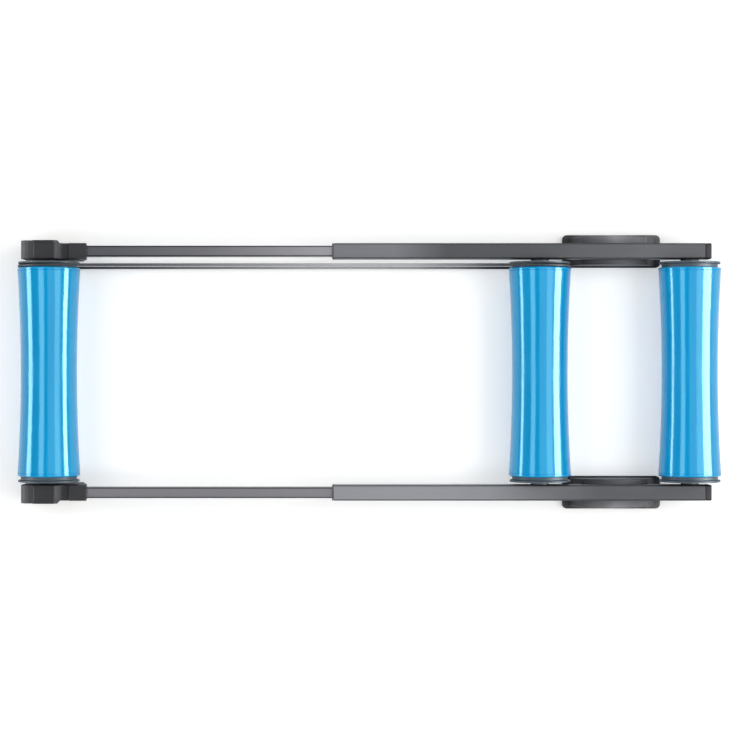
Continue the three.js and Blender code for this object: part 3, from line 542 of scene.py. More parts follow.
def rounded(corners, steps=CORNER_STEPS):
    """Corners (u, v, radius) as the points of an outline, each corner rounded by an arc."""
    outline = []
    for index, (u, v, radius) in enumerate(corners):
        here = Vector((u, v))
        if radius == 0:
            outline.append(here)
            continue
        back = Vector(corners[index - 1][:2]) - here
        ahead = Vector(corners[(index + 1) % len(corners)][:2]) - here
        half_angle = back.angle(ahead) / 2
        longest = LONGEST_REACH * min(back.length, ahead.length)
        reach = min(radius / math.tan(half_angle), longest)
        start = here + back.normalized() * reach
        end = here + ahead.normalized() * reach
        middle = (back.normalized() + ahead.normalized()).normalized()
        centre = here + middle * (reach / math.cos(half_angle))
        first = math.atan2(*(start - centre).yx)
        turn = (math.atan2(*(end - centre).yx) - first + math.pi) % math.tau - math.pi
        arm = (start - centre).length
        for step in range(steps + 1):
            angle = first + turn * step / steps
            outline.append(centre + arm * Vector((math.cos(angle), math.sin(angle))))
    return outline


def rounded_rectangle(width, height, radius, steps=CORNER_STEPS):
    half_w, half_h = width / 2, height / 2
    corners = [(-half_w, -half_h), (half_w, -half_h), (half_w, half_h), (-half_w, half_h)]
    return rounded([(u, v, radius) for u, v in corners], steps)


# %% Turn an outline round an axle, or give it thickness
def piece(name, points, faces):
    """A mesh of points and faces as an object in the scene."""
    mesh = bpy.data.meshes.new(name)
    mesh.from_pydata([tuple(point) for point in points], [], faces)
    mesh.update()
    made = bpy.data.objects.new(name, mesh)
    bpy.context.scene.collection.objects.link(made)
    return made


def turned(name, profile, centre, segments):
    """A closed profile of (radius, y) points, turned about a line along Y through centre."""
    points = []
    for step in range(segments):
        angle = math.tau * step / segments
        across, up = math.cos(angle), math.sin(angle)
        points += [(centre.x + r * across, centre.y + y, centre.z + r * up) for r, y in profile]
    ring = len(profile)
    faces = []
    for step in range(segments):
        here, there = step * ring, (step + 1) % segments * ring
        for index in range(ring):
            after = (index + 1) % ring
            faces.append((here + index, there + index, there + after, here + after))
    return piece(name, points, faces)


def thickened(name, outline, place, from_depth, to_depth):
    """An outline given thickness. place turns (u, v, depth) into a point."""
    count = len(outline)
    points = [place(u, v, from_depth) for u, v in outline]
    points += [place(u, v, to_depth) for u, v in outline]
    faces = [tuple(range(count)), tuple(range(2 * count - 1, count - 1, -1))]
    for index in range(count):
        after = (index + 1) % count
        faces.append((after, index, index + count, after + count))
    return piece(name, points, faces)


def side_view(origin_x):
    """A side view drawn in X and Z, thickened along Y."""
    return lambda u, v, depth: (origin_x + u, depth, v)


def section(centre_y, centre_z):
    """A section drawn in Y and Z, thickened along X."""
    return lambda u, v, depth: (depth, centre_y + u, centre_z + v)


def plan(centre_x, centre_y):
    """A plan drawn in X and Y, thickened along Z."""
    return lambda u, v, depth: (centre_x + u, centre_y + v, depth)


# %% Settle and clean a mesh
DOUBLED_DISTANCE = 0.00001


def applied(target):
    """Bakes the modifiers of a piece into its mesh."""
    bpy.context.view_layer.update()
    evaluated = target.evaluated_get(bpy.context.evaluated_depsgraph_get())
    mesh = bpy.data.meshes.new_from_object(evaluated)
    target.modifiers.clear()
    target.data = mesh
    return target


def outward(target):
    """Turns all faces outwards and joins doubled points."""
    work = bmesh.new()
    work.from_mesh(target.data)
    bmesh.ops.remove_doubles(work, verts=work.verts, dist=DOUBLED_DISTANCE)
    bmesh.ops.recalc_face_normals(work, faces=work.faces)
    work.to_mesh(target.data)
    work.free()
    return target


# %% Soften rims, join and cut
RIM_SEGMENTS = 3
SHARP_ANGLE = math.radians(32)


def softened(target, width):
    """Bevels the sharp rims of a piece."""
    outward(target)
    bevel = target.modifiers.new("soft_rims", "BEVEL")
    bevel.width = width
    bevel.segments = RIM_SEGMENTS
    bevel.limit_method = "ANGLE"
    bevel.angle_limit = SHARP_ANGLE
    return applied(target)


def combined(target, others, operation="UNION"):
    """Joins other pieces to the first, or cuts them from it, and removes them."""
    for other in others:
        boolean = target.modifiers.new("combine", "BOOLEAN")
        boolean.operation = operation
        boolean.solver = "EXACT"
        boolean.object = outward(other)
        applied(target)
        bpy.data.objects.remove(other)
    return target


# %% Mirror a piece, and dress it
def mirrored(source, name):
    """The same piece on the other side of the frame."""
    mesh = source.data.copy()
    for vertex in mesh.vertices:
        vertex.co.y = -vertex.co.y
    mesh.flip_normals()
    twin = bpy.data.objects.new(name, mesh)
    bpy.context.scene.collection.objects.link(twin)
    return twin


def dressed(target, finish, body, *nodes):
    """Smooth shading, the finish, the body that the piece rides on and the solids it stands for."""
    outward(target)
    mesh = target.data
    mesh.materials.clear()
    mesh.materials.append(FINISHES[finish])
    for polygon in mesh.polygons:
        polygon.use_smooth = True
    mesh.set_sharp_from_angle(angle=SHARP_ANGLE)
    weighted = target.modifiers.new("even_shading", "WEIGHTED_NORMAL")
    weighted.keep_sharp = True
    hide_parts(*nodes)
    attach(target, body)
    return target


def dressed_pair(right, name, finish, body, node):
    """Dresses the right-hand piece and its mirror image on the left."""
    left = mirrored(right, f"{name}_left")
    right.name = f"{name}_right"
    dressed(right, finish, body, f"{node}_right")
    dressed(left, finish, body, f"{node}_left")
    print(name, len(right.data.polygons), "faces a side")


# %% [markdown]
# ## The drums
# A wheel stays in the middle of a drum because the drum is narrower there: the ends are 60 mm in radius
# and the waist 53.5 mm. A cylinder with a loop scaled down in its middle would have a kink there. The
# curve is a parabola, so it is written as one formula, and the drum's outline is turned round its axle.
# Near each end a fine groove parts the barrel from a lip, which rounds off towards the cap. The long
# reflections break off there.

# %% Turn the three drums
ROLLERS = ("front", "middle", "rear")
DRUM_WAIST_RADIUS = 0.0535
DRUM_WALL = 0.004
LIP_WIDTH = 0.0065
LIP_ROUND = 0.003
LIP_STEPS = 6
LIP_GROOVE_DEPTH = 0.0006
LIP_GROOVE_WIDTH = 0.0008
CURVE_STEPS = 40
INSIDE_STRIDE = 4  # the inside needs only every fourth point of the curve
DRUM_SEGMENTS = 144


def drum_profile(half_length, end_radius):
    """The outline of a drum's wall: outside from one end to the other, then back along the inside."""
    def curve(y):
        share = abs(y) / half_length
        return DRUM_WAIST_RADIUS + (end_radius - DRUM_WAIST_RADIUS) * share**2

    barrel_end = half_length - LIP_WIDTH
    barrel = [barrel_end * (2 * step / CURVE_STEPS - 1) for step in range(CURVE_STEPS + 1)]
    outside = [(curve(y), y) for y in barrel]
    end = [
        (curve(barrel_end) - LIP_GROOVE_DEPTH, barrel_end + LIP_GROOVE_WIDTH / 2),
        (end_radius - LIP_GROOVE_DEPTH / 2, barrel_end + LIP_GROOVE_WIDTH),
    ]
    for step in range(LIP_STEPS + 1):
        angle = math.pi / 2 * step / LIP_STEPS
        fall = LIP_ROUND * (1 - math.cos(angle))
        end.append((end_radius - fall, half_length - LIP_ROUND * (1 - math.sin(angle))))
    start = [(r, -y) for r, y in reversed(end)]
    inside = [(curve(y) - DRUM_WALL, y) for y in reversed(barrel[::INSIDE_STRIDE])]
    return start + outside + end + inside


for roller in ROLLERS:
    low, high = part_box(f"{roller}_drum")
    centre = (low + high) / 2
    profile = drum_profile((high.y - low.y) / 2, (high.x - low.x) / 2)
    drum = turned(f"{roller}_waisted_drum", profile, centre, DRUM_SEGMENTS)
    dressed(drum, "blue_drum", f"{roller}_roller", f"{roller}_drum")
    print(drum.name, len(drum.data.polygons), "faces")

# %% [markdown]
# ## The end caps
# Each drum is closed by two caps. A cap plugs into the drum, and outside it has a groove for the belt, a
# flange that keeps the belt on, a dished web and a hub that holds the bearing.
# All six are one moulding, so the drums without a belt have the groove too.
# Everything on a cap but its ribs is round, so one outline is turned, and the ribs are joined to it.
# Discs stacked on each other would do from afar, but they would leave faces inside.

# %% The outline of a cap
CAP_PLUG_DEPTH = 0.012
CAP_PLUG_CLEARANCE = 0.0012
CAP_WEB = 0.007
CAP_GROOVE_RADIUS = 0.0535
CAP_GROOVE_FLOOR = 0.0061
CAP_GROOVE_FLARE = 0.0014
CAP_RIM = 0.005
CAP_HUB_RADIUS = 0.018
CAP_POCKET_RADIUS = 0.0133
CAP_POCKET_DEPTH = 0.0086
CAP_BORE_RADIUS = 0.0095
CAP_EDGE = 0.0008
CAP_ROOT = 0.002


def cap_profile(drum_end, face, flange_radius, plug_radius):
    """A cap from its hub round the plug, groove, flange, rim and web, back to the bearing pocket."""
    plug_end = drum_end - CAP_PLUG_DEPTH
    web = plug_end + CAP_WEB
    rim = CAP_GROOVE_RADIUS - CAP_RIM
    floor_end = drum_end + CAP_GROOVE_FLOOR
    return rounded([
        (CAP_BORE_RADIUS, plug_end, 0),
        (plug_radius, plug_end, CAP_EDGE),
        (plug_radius, drum_end - CAP_EDGE / 2, 0),
        (CAP_GROOVE_RADIUS, drum_end, 0),
        (CAP_GROOVE_RADIUS, floor_end, CAP_EDGE),
        (flange_radius, floor_end + CAP_GROOVE_FLARE, CAP_EDGE),
        (flange_radius, face, CAP_EDGE),
        (rim, face, CAP_EDGE),
        (rim, web, CAP_ROOT),
        (CAP_HUB_RADIUS, web, CAP_ROOT),
        (CAP_HUB_RADIUS, face, CAP_EDGE),
        (CAP_POCKET_RADIUS, face, CAP_EDGE / 2),
        (CAP_POCKET_RADIUS, face - CAP_POCKET_DEPTH, 0),
        (CAP_BORE_RADIUS, face - CAP_POCKET_DEPTH, 0),
    ], SMALL_CORNER_STEPS)


# %% Turn the six caps and join their ribs
CAP_SEGMENTS = 120
CAP_RIBS = 6
CAP_RIB_THICKNESS = 0.0028
CAP_RIB_INSET = 0.004


def cap_ribs(centre, drum_end, face):
    """Ribs from the hub to the rim, set back from the cap's face."""
    web = drum_end - CAP_PLUG_DEPTH + CAP_WEB - CAP_EDGE
    inner = CAP_HUB_RADIUS - CAP_EDGE
    outer = CAP_GROOVE_RADIUS - CAP_RIM + CAP_EDGE
    half_rib = CAP_RIB_THICKNESS / 2
    corners = [(inner, -half_rib), (outer, -half_rib), (outer, half_rib), (inner, half_rib)]
    ribs = []
    for index in range(CAP_RIBS):
        angle = math.tau * (index + 0.5) / CAP_RIBS
        along = Vector((math.cos(angle), 0, math.sin(angle)))
        across = Vector((-math.sin(angle), 0, math.cos(angle)))

        def place(u, v, depth, along=along, across=across):
            return Vector((centre.x, depth, centre.z)) + along * u + across * v

        ribs.append(thickened("rib", corners, place, web, face - CAP_RIB_INSET))
    return ribs


for roller in ROLLERS:
    low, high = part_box(f"{roller}_end_cap_right")
    axis = (low + high) / 2
    drum_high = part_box(f"{roller}_drum")[1]
    plug_radius = (drum_high.x - axis.x) - DRUM_WALL - CAP_PLUG_CLEARANCE
    profile = cap_profile(drum_high.y, high.y, high.x - axis.x, plug_radius)
    axis.y = 0
    cap = turned(f"{roller}_cap_right", profile, axis, CAP_SEGMENTS)
    cap = combined(outward(cap), cap_ribs(axis, drum_high.y, high.y))
    dressed_pair(cap, f"{roller}_grooved_cap", "grey_cap", f"{roller}_roller", f"{roller}_end_cap")

# %% [markdown]
# ## The drive belt
# A round elastic cord turns the front drum with the middle one. It lies in the grooves on one side only.
# It could be a curve with a bevel; here it is a mesh tube, a round section swept along its line round
# the two caps.

# %% The belt's line round the two caps
BELT_ARC_STEPS = 48
BELT_RUN_STEPS = 60


def belt_stations(front, middle, radius):
    """Points on the belt's line, each with its outward direction, right round the loop."""
    stations = []
    for start, end, side in ((front, middle, 1), (middle, front, -1)):
        out = Vector((0, 0, side))
        for step in range(BELT_RUN_STEPS):
            stations.append((start.lerp(end, step / BELT_RUN_STEPS) + radius * out, out))
        for step in range(BELT_ARC_STEPS):
            angle = math.pi * step / BELT_ARC_STEPS
            out = side * Vector((math.sin(angle), 0, math.cos(angle)))
            stations.append((end + radius * out, out))
    return stations


low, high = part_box("drive_belt")
belt_radius = (high.y - low.y) / 2
loop_radius = (high.z - low.z) / 2 - belt_radius
belt_y = (high.y + low.y) / 2
front_groove = Vector((low.x + (high.z - low.z) / 2, belt_y, axle_height))
middle_groove = Vector((high.x - (high.z - low.z) / 2, belt_y, axle_height))
stations = belt_stations(front_groove, middle_groove, loop_radius)
loop_length = 2 * ((middle_groove - front_groove).length + math.pi * loop_radius)
print("the belt's loop is", round(loop_length, 3), "m long")

# %% Sweep the belt's round section along its line
BELT_SIDES = 16

points, faces = [], []
for centre, out in stations:
    for side in range(BELT_SIDES):
        angle = math.tau * side / BELT_SIDES
        across = Vector((0, math.cos(angle), 0))
        points.append(centre + belt_radius * (across + out * math.sin(angle)))
for ring in range(len(stations)):
    here, there = ring * BELT_SIDES, (ring + 1) % len(stations) * BELT_SIDES
    for side in range(BELT_SIDES):
        after = (side + 1) % BELT_SIDES
        faces.append((here + side, here + after, there + after, there + side))
belt = outward(piece("drive_belt_cord", points, faces))
belt.data.materials.append(FINISHES["belt_rubber"])
for polygon in belt.data.polygons:
    polygon.use_smooth = True
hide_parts("drive_belt")
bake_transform(belt)
print("belt", len(stations), "rings")

# %% [markdown]
# ## The rails
# Two rectangular steel tubes carry the rear pair of drums, and a thinner tube slides in each of them.
# The axle ends sit in round bosses that are welded to the rails' inner faces.
# A tube is a section with rounded corners, drawn in Y and Z and thickened along X. A solid bar would look
# the same from above, but the inner rail has to slide in it, so the hollow is really cut.

# %% A rectangular tube
RAIL_WALL = 0.002
RAIL_CORNER = 0.003
OVERRUN = 0.004  # a cutting piece reaches this far past what it cuts

rail_y = rail_high.y - RAIL_WIDTH / 2
rail_inner_face = rail_high.y - RAIL_WIDTH
boss_tip = rail_low.y
across_rail = section(rail_y, axle_height)


def tube(name, width, height, wall, corner, from_x, to_x):
    """A rectangular tube with open ends."""
    outer = rounded_rectangle(width, height, corner)
    inner = rounded_rectangle(width - 2 * wall, height - 2 * wall, max(corner - wall, wall / 4))
    body = thickened(name, outer, across_rail, from_x, to_x)
    hollow = thickened("hollow", inner, across_rail, from_x - OVERRUN, to_x + OVERRUN)
    return combined(outward(body), [hollow], "DIFFERENCE")


# %% Bosses for the axles and the lock knobs
BOSS_RADIUS = 0.017
BOSS_NOSE_RADIUS = 0.007
BOSS_NOSE_LENGTH = 0.001
BOSS_BORE_RADIUS = 0.0053
BORE_EDGE = 0.0003
NOSE_EDGE = 0.0004
NOSE_ROOT = 0.0002
BOSS_EDGE = 0.0006
WELD_SIZE = 0.0015
WELD_EDGE = 0.0004
BOSS_SEGMENTS = 48
ROD_SEGMENTS = 32


def axle_boss(x):
    """A stepped boss with its weld, turned about the axle."""
    profile = rounded([
        (BOSS_BORE_RADIUS, boss_tip, BORE_EDGE),
        (BOSS_NOSE_RADIUS, boss_tip, NOSE_EDGE),
        (BOSS_NOSE_RADIUS, boss_tip + BOSS_NOSE_LENGTH, NOSE_ROOT),
        (BOSS_RADIUS, boss_tip + BOSS_NOSE_LENGTH, BOSS_EDGE),
        (BOSS_RADIUS, rail_inner_face - WELD_SIZE, WELD_EDGE),
        (BOSS_RADIUS + WELD_SIZE, rail_inner_face, 0),
        (BOSS_RADIUS, rail_inner_face + WELD_SIZE / 2, 0),
        (BOSS_BORE_RADIUS, rail_inner_face + WELD_SIZE / 2, 0),
    ], SMALL_CORNER_STEPS)
    return turned("boss", profile, Vector((x, 0, axle_height)), BOSS_SEGMENTS)


def rod_up(name, x, y, radius, from_z, to_z):
    """A round rod along Z."""
    angles = [math.tau * step / ROD_SEGMENTS for step in range(ROD_SEGMENTS)]
    outline = [radius * Vector((math.cos(angle), math.sin(angle))) for angle in angles]
    return thickened(name, outline, plan(x, y), from_z, to_z)


# %% Outer rails with their bosses
LOCK_BOSS_RADIUS = 0.007
LOCK_BOSS_RIM = 0.0006

outer_rail = tube("rail", RAIL_WIDTH, RAIL_HEIGHT, RAIL_WALL, RAIL_CORNER, rail_low.x, rail_high.x)
lock_low, lock_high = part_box("lock_knob_right")
lock_x = (lock_low.x + lock_high.x) / 2
rail_underside = axle_height - RAIL_HEIGHT / 2
lock_boss_top = rail_underside + RAIL_WALL / 2
lock_boss = rod_up("lock_boss", lock_x, rail_y, LOCK_BOSS_RADIUS, rail_low.z, lock_boss_top)
axle_xs = [sum(corner.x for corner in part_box(node)) / 2 for node in ("middle_axle", "rear_axle")]
bosses = [axle_boss(x) for x in axle_xs] + [softened(lock_boss, LOCK_BOSS_RIM)]
outer_rail = combined(outer_rail, bosses)
dressed_pair(outer_rail, "outer_rail_tube", "rail_paint", "rear_frame", "outer_rail")

# %% Inner rails
INNER_RAIL_WALL = 0.0018

low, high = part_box("inner_rail_right")
inner_rail = tube(
    "inner", high.y - low.y, high.z - low.z, INNER_RAIL_WALL, RAIL_CORNER, low.x, high.x
)
dressed_pair(inner_rail, "inner_rail_tube", "inner_rail_metal", "front_frame", "inner_rail")

# %% [markdown]
# ## The rails' plastic fittings
# A plug closes the rear end of each outer rail, and a bush lines its mouth and guides the inner rail.
# Both are mouldings with a visible face and a spigot in the tube, so each is two bars joined together.
# A coloured patch on the end of the rail would be quicker, but the fine gap round a plug would be lost.

# %% End plugs
FITTING_CORNER = 0.0035
FITTING_RIM = 0.002
SPIGOT_CLEARANCE = 0.0003
RAIL_MOUTH_GAP = 0.0003

spigot = rounded_rectangle(
    RAIL_WIDTH - 2 * (RAIL_WALL + SPIGOT_CLEARANCE),
    RAIL_HEIGHT - 2 * (RAIL_WALL + SPIGOT_CLEARANCE),
    RAIL_CORNER - RAIL_WALL,
)
face_outline = rounded_rectangle(RAIL_WIDTH, RAIL_HEIGHT, FITTING_CORNER)

low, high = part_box("rail_end_plug_right")
plug_face = thickened("plug", face_outline, across_rail, rail_high.x + RAIL_MOUTH_GAP, high.x)
plug_spigot = thickened("spigot", spigot, across_rail, low.x, rail_high.x + FITTING_RIM)
plug = combined(softened(plug_face, FITTING_RIM), [plug_spigot])
dressed_pair(plug, "rail_end_plug_cap", "black_plastic", "rear_frame", "rail_end_plug")

# %% Mouth bushes
low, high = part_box("rail_mouth_bush_right")
inner_low, inner_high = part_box("inner_rail_right")
way = rounded_rectangle(
    inner_high.y - inner_low.y + 2 * SPIGOT_CLEARANCE,
    inner_high.z - inner_low.z + 2 * SPIGOT_CLEARANCE,
    RAIL_CORNER,
)
bush_face = thickened("bush", face_outline, across_rail, low.x, rail_low.x - RAIL_MOUTH_GAP)
bush_sleeve = thickened("sleeve", spigot, across_rail, low.x + FITTING_RIM, high.x)
bush_way = thickened("way", way, across_rail, low.x - OVERRUN, high.x + OVERRUN)
bush = combined(softened(bush_face, FITTING_RIM / 2), [bush_sleeve])
bush = combined(bush, [bush_way], "DIFFERENCE")
dressed_pair(bush, "rail_mouth_bush_collar", "guide_plastic", "rear_frame", "rail_mouth_bush")

# %% [markdown]
# ## The front brackets
# One black moulding on each side carries the front axle, stands on a pad and grips the inner rail.
# From above it shows a shelf at the front, a raised hub that sweeps down behind, and a square collar.
# Sculpting would suit such a moulding too, but its steps are plain and have sizes. So it is drawn as side
# views, a slab, a lower rim outside it and the collar, and these are joined.

# %% Lay out the bracket's side view
RIM_STEP = 0.003
SHELF_RISE = 0.008
SHELF_LENGTH = 0.021
NOSE_LENGTH = 0.008
HUB_LEAD = 0.006
HUB_TOP_BEHIND_AXLE = 0.013
HUB_DROP = 0.007
RIM_SLANT = 0.01
SWEEP_LENGTH = 0.017
SWEEP_DROP = 0.015
SWEEP_STEPS = 12
NECK_LENGTH = 0.011
COLLAR_WALL = 0.006
FACE_HEIGHT = 0.096

low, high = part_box("front_bracket_right")
front_x = sum(corner.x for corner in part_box("front_axle")) / 2
ahead = front_x - low.x
sole, hub_top = low.z, high.z
hub_start = SHELF_LENGTH - ahead
shelf = FACE_HEIGHT + SHELF_RISE
neck = HUB_TOP_BEHIND_AXLE + SWEEP_LENGTH
collar_start = neck + NECK_LENGTH
collar_bottom = inner_low.z - COLLAR_WALL
sweep = []
for step in range(SWEEP_STEPS, -1, -1):
    share = step / SWEEP_STEPS
    fall = SWEEP_DROP * share**2 * (3 - 2 * share)  # level at both ends
    sweep.append((HUB_TOP_BEHIND_AXLE + share * SWEEP_LENGTH, hub_top - fall, 0))
print("the bracket reaches", round(ahead, 3), "m ahead of the axle")

# %% Draw the slab and the rim
SOLE_ROUND = 0.001
NOSE_ROUND = 0.005
SHELF_ROUND = 0.003
HUB_ROUND = 0.004
RIM_HUB_ROUND = 0.006
LEG_BEHIND_AXLE = 0.056
GUSSET_REACH = 0.014
GUSSET_FOOT = 0.01
GUSSET_ROUND = 0.003
BITE = 0.001  # how far one form reaches into the next

nose = [(NOSE_LENGTH - ahead, shelf, NOSE_ROUND), (-ahead, FACE_HEIGHT, NOSE_ROUND)]
slab_outline = rounded([
    (-ahead, sole, SOLE_ROUND),
    (LEG_BEHIND_AXLE, sole, SOLE_ROUND),
    (LEG_BEHIND_AXLE, sole + GUSSET_FOOT, GUSSET_ROUND),
    (LEG_BEHIND_AXLE + GUSSET_REACH, collar_bottom + BITE, 0),
    (collar_start + BITE, collar_bottom + COLLAR_WALL / 2, 0),
    (collar_start + BITE, hub_top - SWEEP_DROP, 0),
    *sweep,
    (hub_start + HUB_LEAD, hub_top, HUB_ROUND),
    (hub_start, shelf, SHELF_ROUND),
    *nose,
])
rim_top = hub_top - RIM_STEP
rim_outline = rounded([
    (-ahead, sole, SOLE_ROUND),
    (HUB_TOP_BEHIND_AXLE + HUB_DROP - RIM_SLANT, sole, SOLE_ROUND),
    (HUB_TOP_BEHIND_AXLE + HUB_DROP, rim_top - HUB_DROP, HUB_ROUND),
    (HUB_TOP_BEHIND_AXLE, rim_top, RIM_HUB_ROUND),
    (hub_start + HUB_LEAD, rim_top, HUB_ROUND),
    (hub_start, shelf - BITE, SHELF_ROUND),
    (NOSE_LENGTH - ahead, shelf - BITE, NOSE_ROUND),
    nose[1],
])
print(len(slab_outline), "points round the slab,", len(rim_outline), "round the rim")

# %% Join the slab, the rim and the collar
BRACKET_THICKNESS = 0.0355
BRACKET_RIM = 0.0018
COLLAR_SLANT = 0.005
COLLAR_FOOT_ROUND = 0.001
COLLAR_END_ROUND = 0.0015
COLLAR_TOP_ROUND = 0.002

beside = side_view(front_x)
rail_outer_face = rail_inner_face + RAIL_WIDTH
bracket_outer_face = rail_inner_face + BRACKET_THICKNESS
slab = thickened("slab", slab_outline, beside, rail_inner_face, rail_outer_face)
rim = thickened("rim", rim_outline, beside, rail_outer_face - 2 * BRACKET_RIM, bracket_outer_face)
collar_end = high.x - front_x
collar_outline = rounded([
    (collar_start, collar_bottom, 0),
    (collar_end - COLLAR_SLANT, collar_bottom, COLLAR_FOOT_ROUND),
    (collar_end, inner_high.z + COLLAR_WALL, COLLAR_END_ROUND),
    (collar_start, inner_high.z + COLLAR_WALL, COLLAR_TOP_ROUND),
])
collar = thickened("collar", collar_outline, beside, rail_inner_face, rail_outer_face)
socket = thickened("socket", way, across_rail, inner_low.x - SPIGOT_CLEARANCE, high.x + OVERRUN)
bracket = softened(slab, BRACKET_RIM / 2)
bracket = combined(bracket, [softened(rim, BRACKET_RIM), softened(collar, BRACKET_RIM)])
bracket = combined(combined(bracket, [axle_boss(front_x)]), [socket], "DIFFERENCE")
dressed_pair(bracket, "front_axle_bracket", "bracket_scuff_and_sheen", "front_frame", "front_bracket")

# %% [markdown]
# ## The rear feet
# A foot is a broad base plate with an arched saddle on it, and the rail lies in the saddle.
# The plate is broader than the saddle, so a rim of it shows on both sides of the rail.
# A cube that is bent and scaled would only come near this. The arch is a parabola, and both ends slope
# steeply down to the plate, so the saddle is one side view, joined to a plan of the plate.

# %% Draw the plate and the arched saddle
FOOT_PLATE = 0.011
FOOT_CORNER = 0.009
FOOT_CORNER_STEPS = 8
SADDLE_HALF_LENGTH = 0.063
SADDLE_CROWN = 0.013
SADDLE_SHOULDER = 0.004
SHOULDER_ROUND = 0.004
SADDLE_TOE = 0.012
ARCH_STEPS = 16

low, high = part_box("rear_foot_right")
foot_centre = (low + high) / 2
plate_top = low.z + FOOT_PLATE
base_outline = rounded_rectangle(high.x - low.x, high.y - low.y, FOOT_CORNER, FOOT_CORNER_STEPS)
base = thickened("base", base_outline, plan(foot_centre.x, foot_centre.y), low.z, plate_top)
toe = (high.x - low.x) / 2 - SADDLE_TOE
shoulder_z = rail_underside + SADDLE_SHOULDER
arch = []
for step in range(ARCH_STEPS + 1):
    share = 1 - 2 * step / ARCH_STEPS
    rise = (SADDLE_CROWN - SADDLE_SHOULDER) * (1 - share**2)
    radius = SHOULDER_ROUND if abs(share) == 1 else 0
    arch.append((share * SADDLE_HALF_LENGTH, shoulder_z + rise, radius))
saddle_outline = rounded([(-toe, plate_top - BITE, 0), (toe, plate_top - BITE, 0), *arch])
print(len(saddle_outline), "points round the saddle")

# %% Join the plate and the saddle, and cut the rail's way
FOOT_RIM = 0.002
INNER_CHEEK = 0.0095
OUTER_CHEEK = 0.0155

saddle = thickened(
    "saddle", saddle_outline, side_view(foot_centre.x),
    rail_inner_face - INNER_CHEEK, rail_outer_face + OUTER_CHEEK,
)
way_outline = rounded_rectangle(
    RAIL_WIDTH + 2 * SPIGOT_CLEARANCE, RAIL_HEIGHT + 2 * SPIGOT_CLEARANCE, RAIL_CORNER
)
rail_way = thickened("way", way_outline, across_rail, low.x - OVERRUN, high.x + OVERRUN)
foot = combined(softened(base, FOOT_RIM), [softened(saddle, FOOT_RIM)])
foot = combined(foot, [rail_way], "DIFFERENCE")
dressed_pair(foot, "rear_arched_foot", "foot_scuff_and_sheen", "rear_frame", "rear_foot")

# %% [markdown]
# ## Pads and lock knobs
# Coarse rubber pads keep the plastic off the floor, and a lobed knob under each rail mouth clamps the
# inner rail. The pads' undersides are flat, because the object stands on them.
# A pad is a plan with a thickness. A knob's lobes could be cut one by one, but one cosine draws them all.

# %% Cut the pads
PAD_RIM = 0.0012
PAD_CORNER = 0.006
PAD_CORNER_STEPS = 6

for node, body in (("front_pad", "front_frame"), ("rear_pad", "rear_frame")):
    low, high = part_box(f"{node}_right")
    centre = (low + high) / 2
    outline = rounded_rectangle(high.x - low.x, high.y - low.y, PAD_CORNER, PAD_CORNER_STEPS)
    pad = thickened("pad", outline, plan(centre.x, centre.y), low.z, high.z)
    dressed_pair(softened(pad, PAD_RIM), f"{node}_sole", "pad_rubber", body, node)

# %% Shape the lock knobs
KNOB_RADIUS = 0.011
KNOB_LOBE = 0.0014
KNOB_LOBES = 6
KNOB_HEIGHT = 0.013
KNOB_RIM = 0.0015
KNOB_POINTS = 96
STUD_RADIUS = 0.003


def knob_outline():
    """A circle whose radius swells once for each lobe."""
    outline = []
    for step in range(KNOB_POINTS):
        angle = math.tau * step / KNOB_POINTS
        radius = KNOB_RADIUS + KNOB_LOBE * math.cos(KNOB_LOBES * angle)
        outline.append(Vector((math.cos(angle), math.sin(angle))) * radius)
    return outline


for side, mirror in (("right", 1), ("left", -1)):
    low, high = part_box(f"lock_knob_{side}")
    where = plan(lock_x, mirror * rail_y)
    grip = thickened("grip", knob_outline(), where, low.z, low.z + KNOB_HEIGHT)
    stud = rod_up("stud", lock_x, mirror * rail_y, STUD_RADIUS, low.z + KNOB_HEIGHT / 2, high.z)
    knob = combined(softened(grip, KNOB_RIM), [stud])
    knob.name = f"lock_knob_grip_{side}"
    dressed(knob, "black_plastic", f"lock_knob_{side}", f"lock_knob_{side}")
    print(knob.name, len(knob.data.polygons), "faces")

# %% [markdown]
# ## The solids that stay
# Axles, bearings, screws, bolts and sliders are turned or drawn parts whose solid is already right.
# They could be modelled again, but they lie inside and hardly show, so they keep their mesh and only get
# a finish with real texture.

# %% Finish the solids that stay
slot_of = {row["node"]: row["material_slot"] for row in frame["record"]["subparts"]}
kept = [name for name, solid in frame["nodes"].items() if not solid.hide_render]
for name in kept:
    mesh = frame["nodes"][name].data
    mesh.materials.clear()
    mesh.materials.append(FINISHES[slot_of[name]])
print(len(kept), "solids keep their own mesh")

# %% [markdown]
# ## Floor and studio light
# The photograph is high-key: a white sweep, with faint bluish shadows close to the drums.
# The floor is a white diffuse surface to the lamps, and to the camera it also glows a little, so that it
# reads as white without more light on the object. Its shadows stay. Some metres off, where the lamps don't
# reach, it fades into plain white, so that a view from the side shows hardly any grey behind the object.
# A single sun would light all this, but glossy drums show what stands round them. Long lamps beside the
# object give them their bright stripes, one lamp a stripe. The places of the stripes on the three drums
# show how far away each lamp stood. These lamps only shine: matt surfaces get their light from three
# broad panels, and only the two that stand above and to the right show in the gloss. The room is light
# all round and dark overhead, so the drums' flanks are pale and their tops keep a deep blue.

# %% A pale floor that keeps the shadow
FLOOR_SIZE = 120.0
FLOOR_DROP = 0.0005  # keeps the floor and the pads' undersides apart
FLOOR_PLAIN = (0.8, 0.8, 0.8, 1.0)
WHITE = (1.0, 1.0, 1.0, 1.0)
FLOOR_GLOW = 0.35
FLOOR_GLOW_COLOUR = (1.0, 0.98, 0.93, 1.0)  # a little warm, against the drums' blue that falls on it
FADE_FROM = 2.0
FADE_TO = 5.0

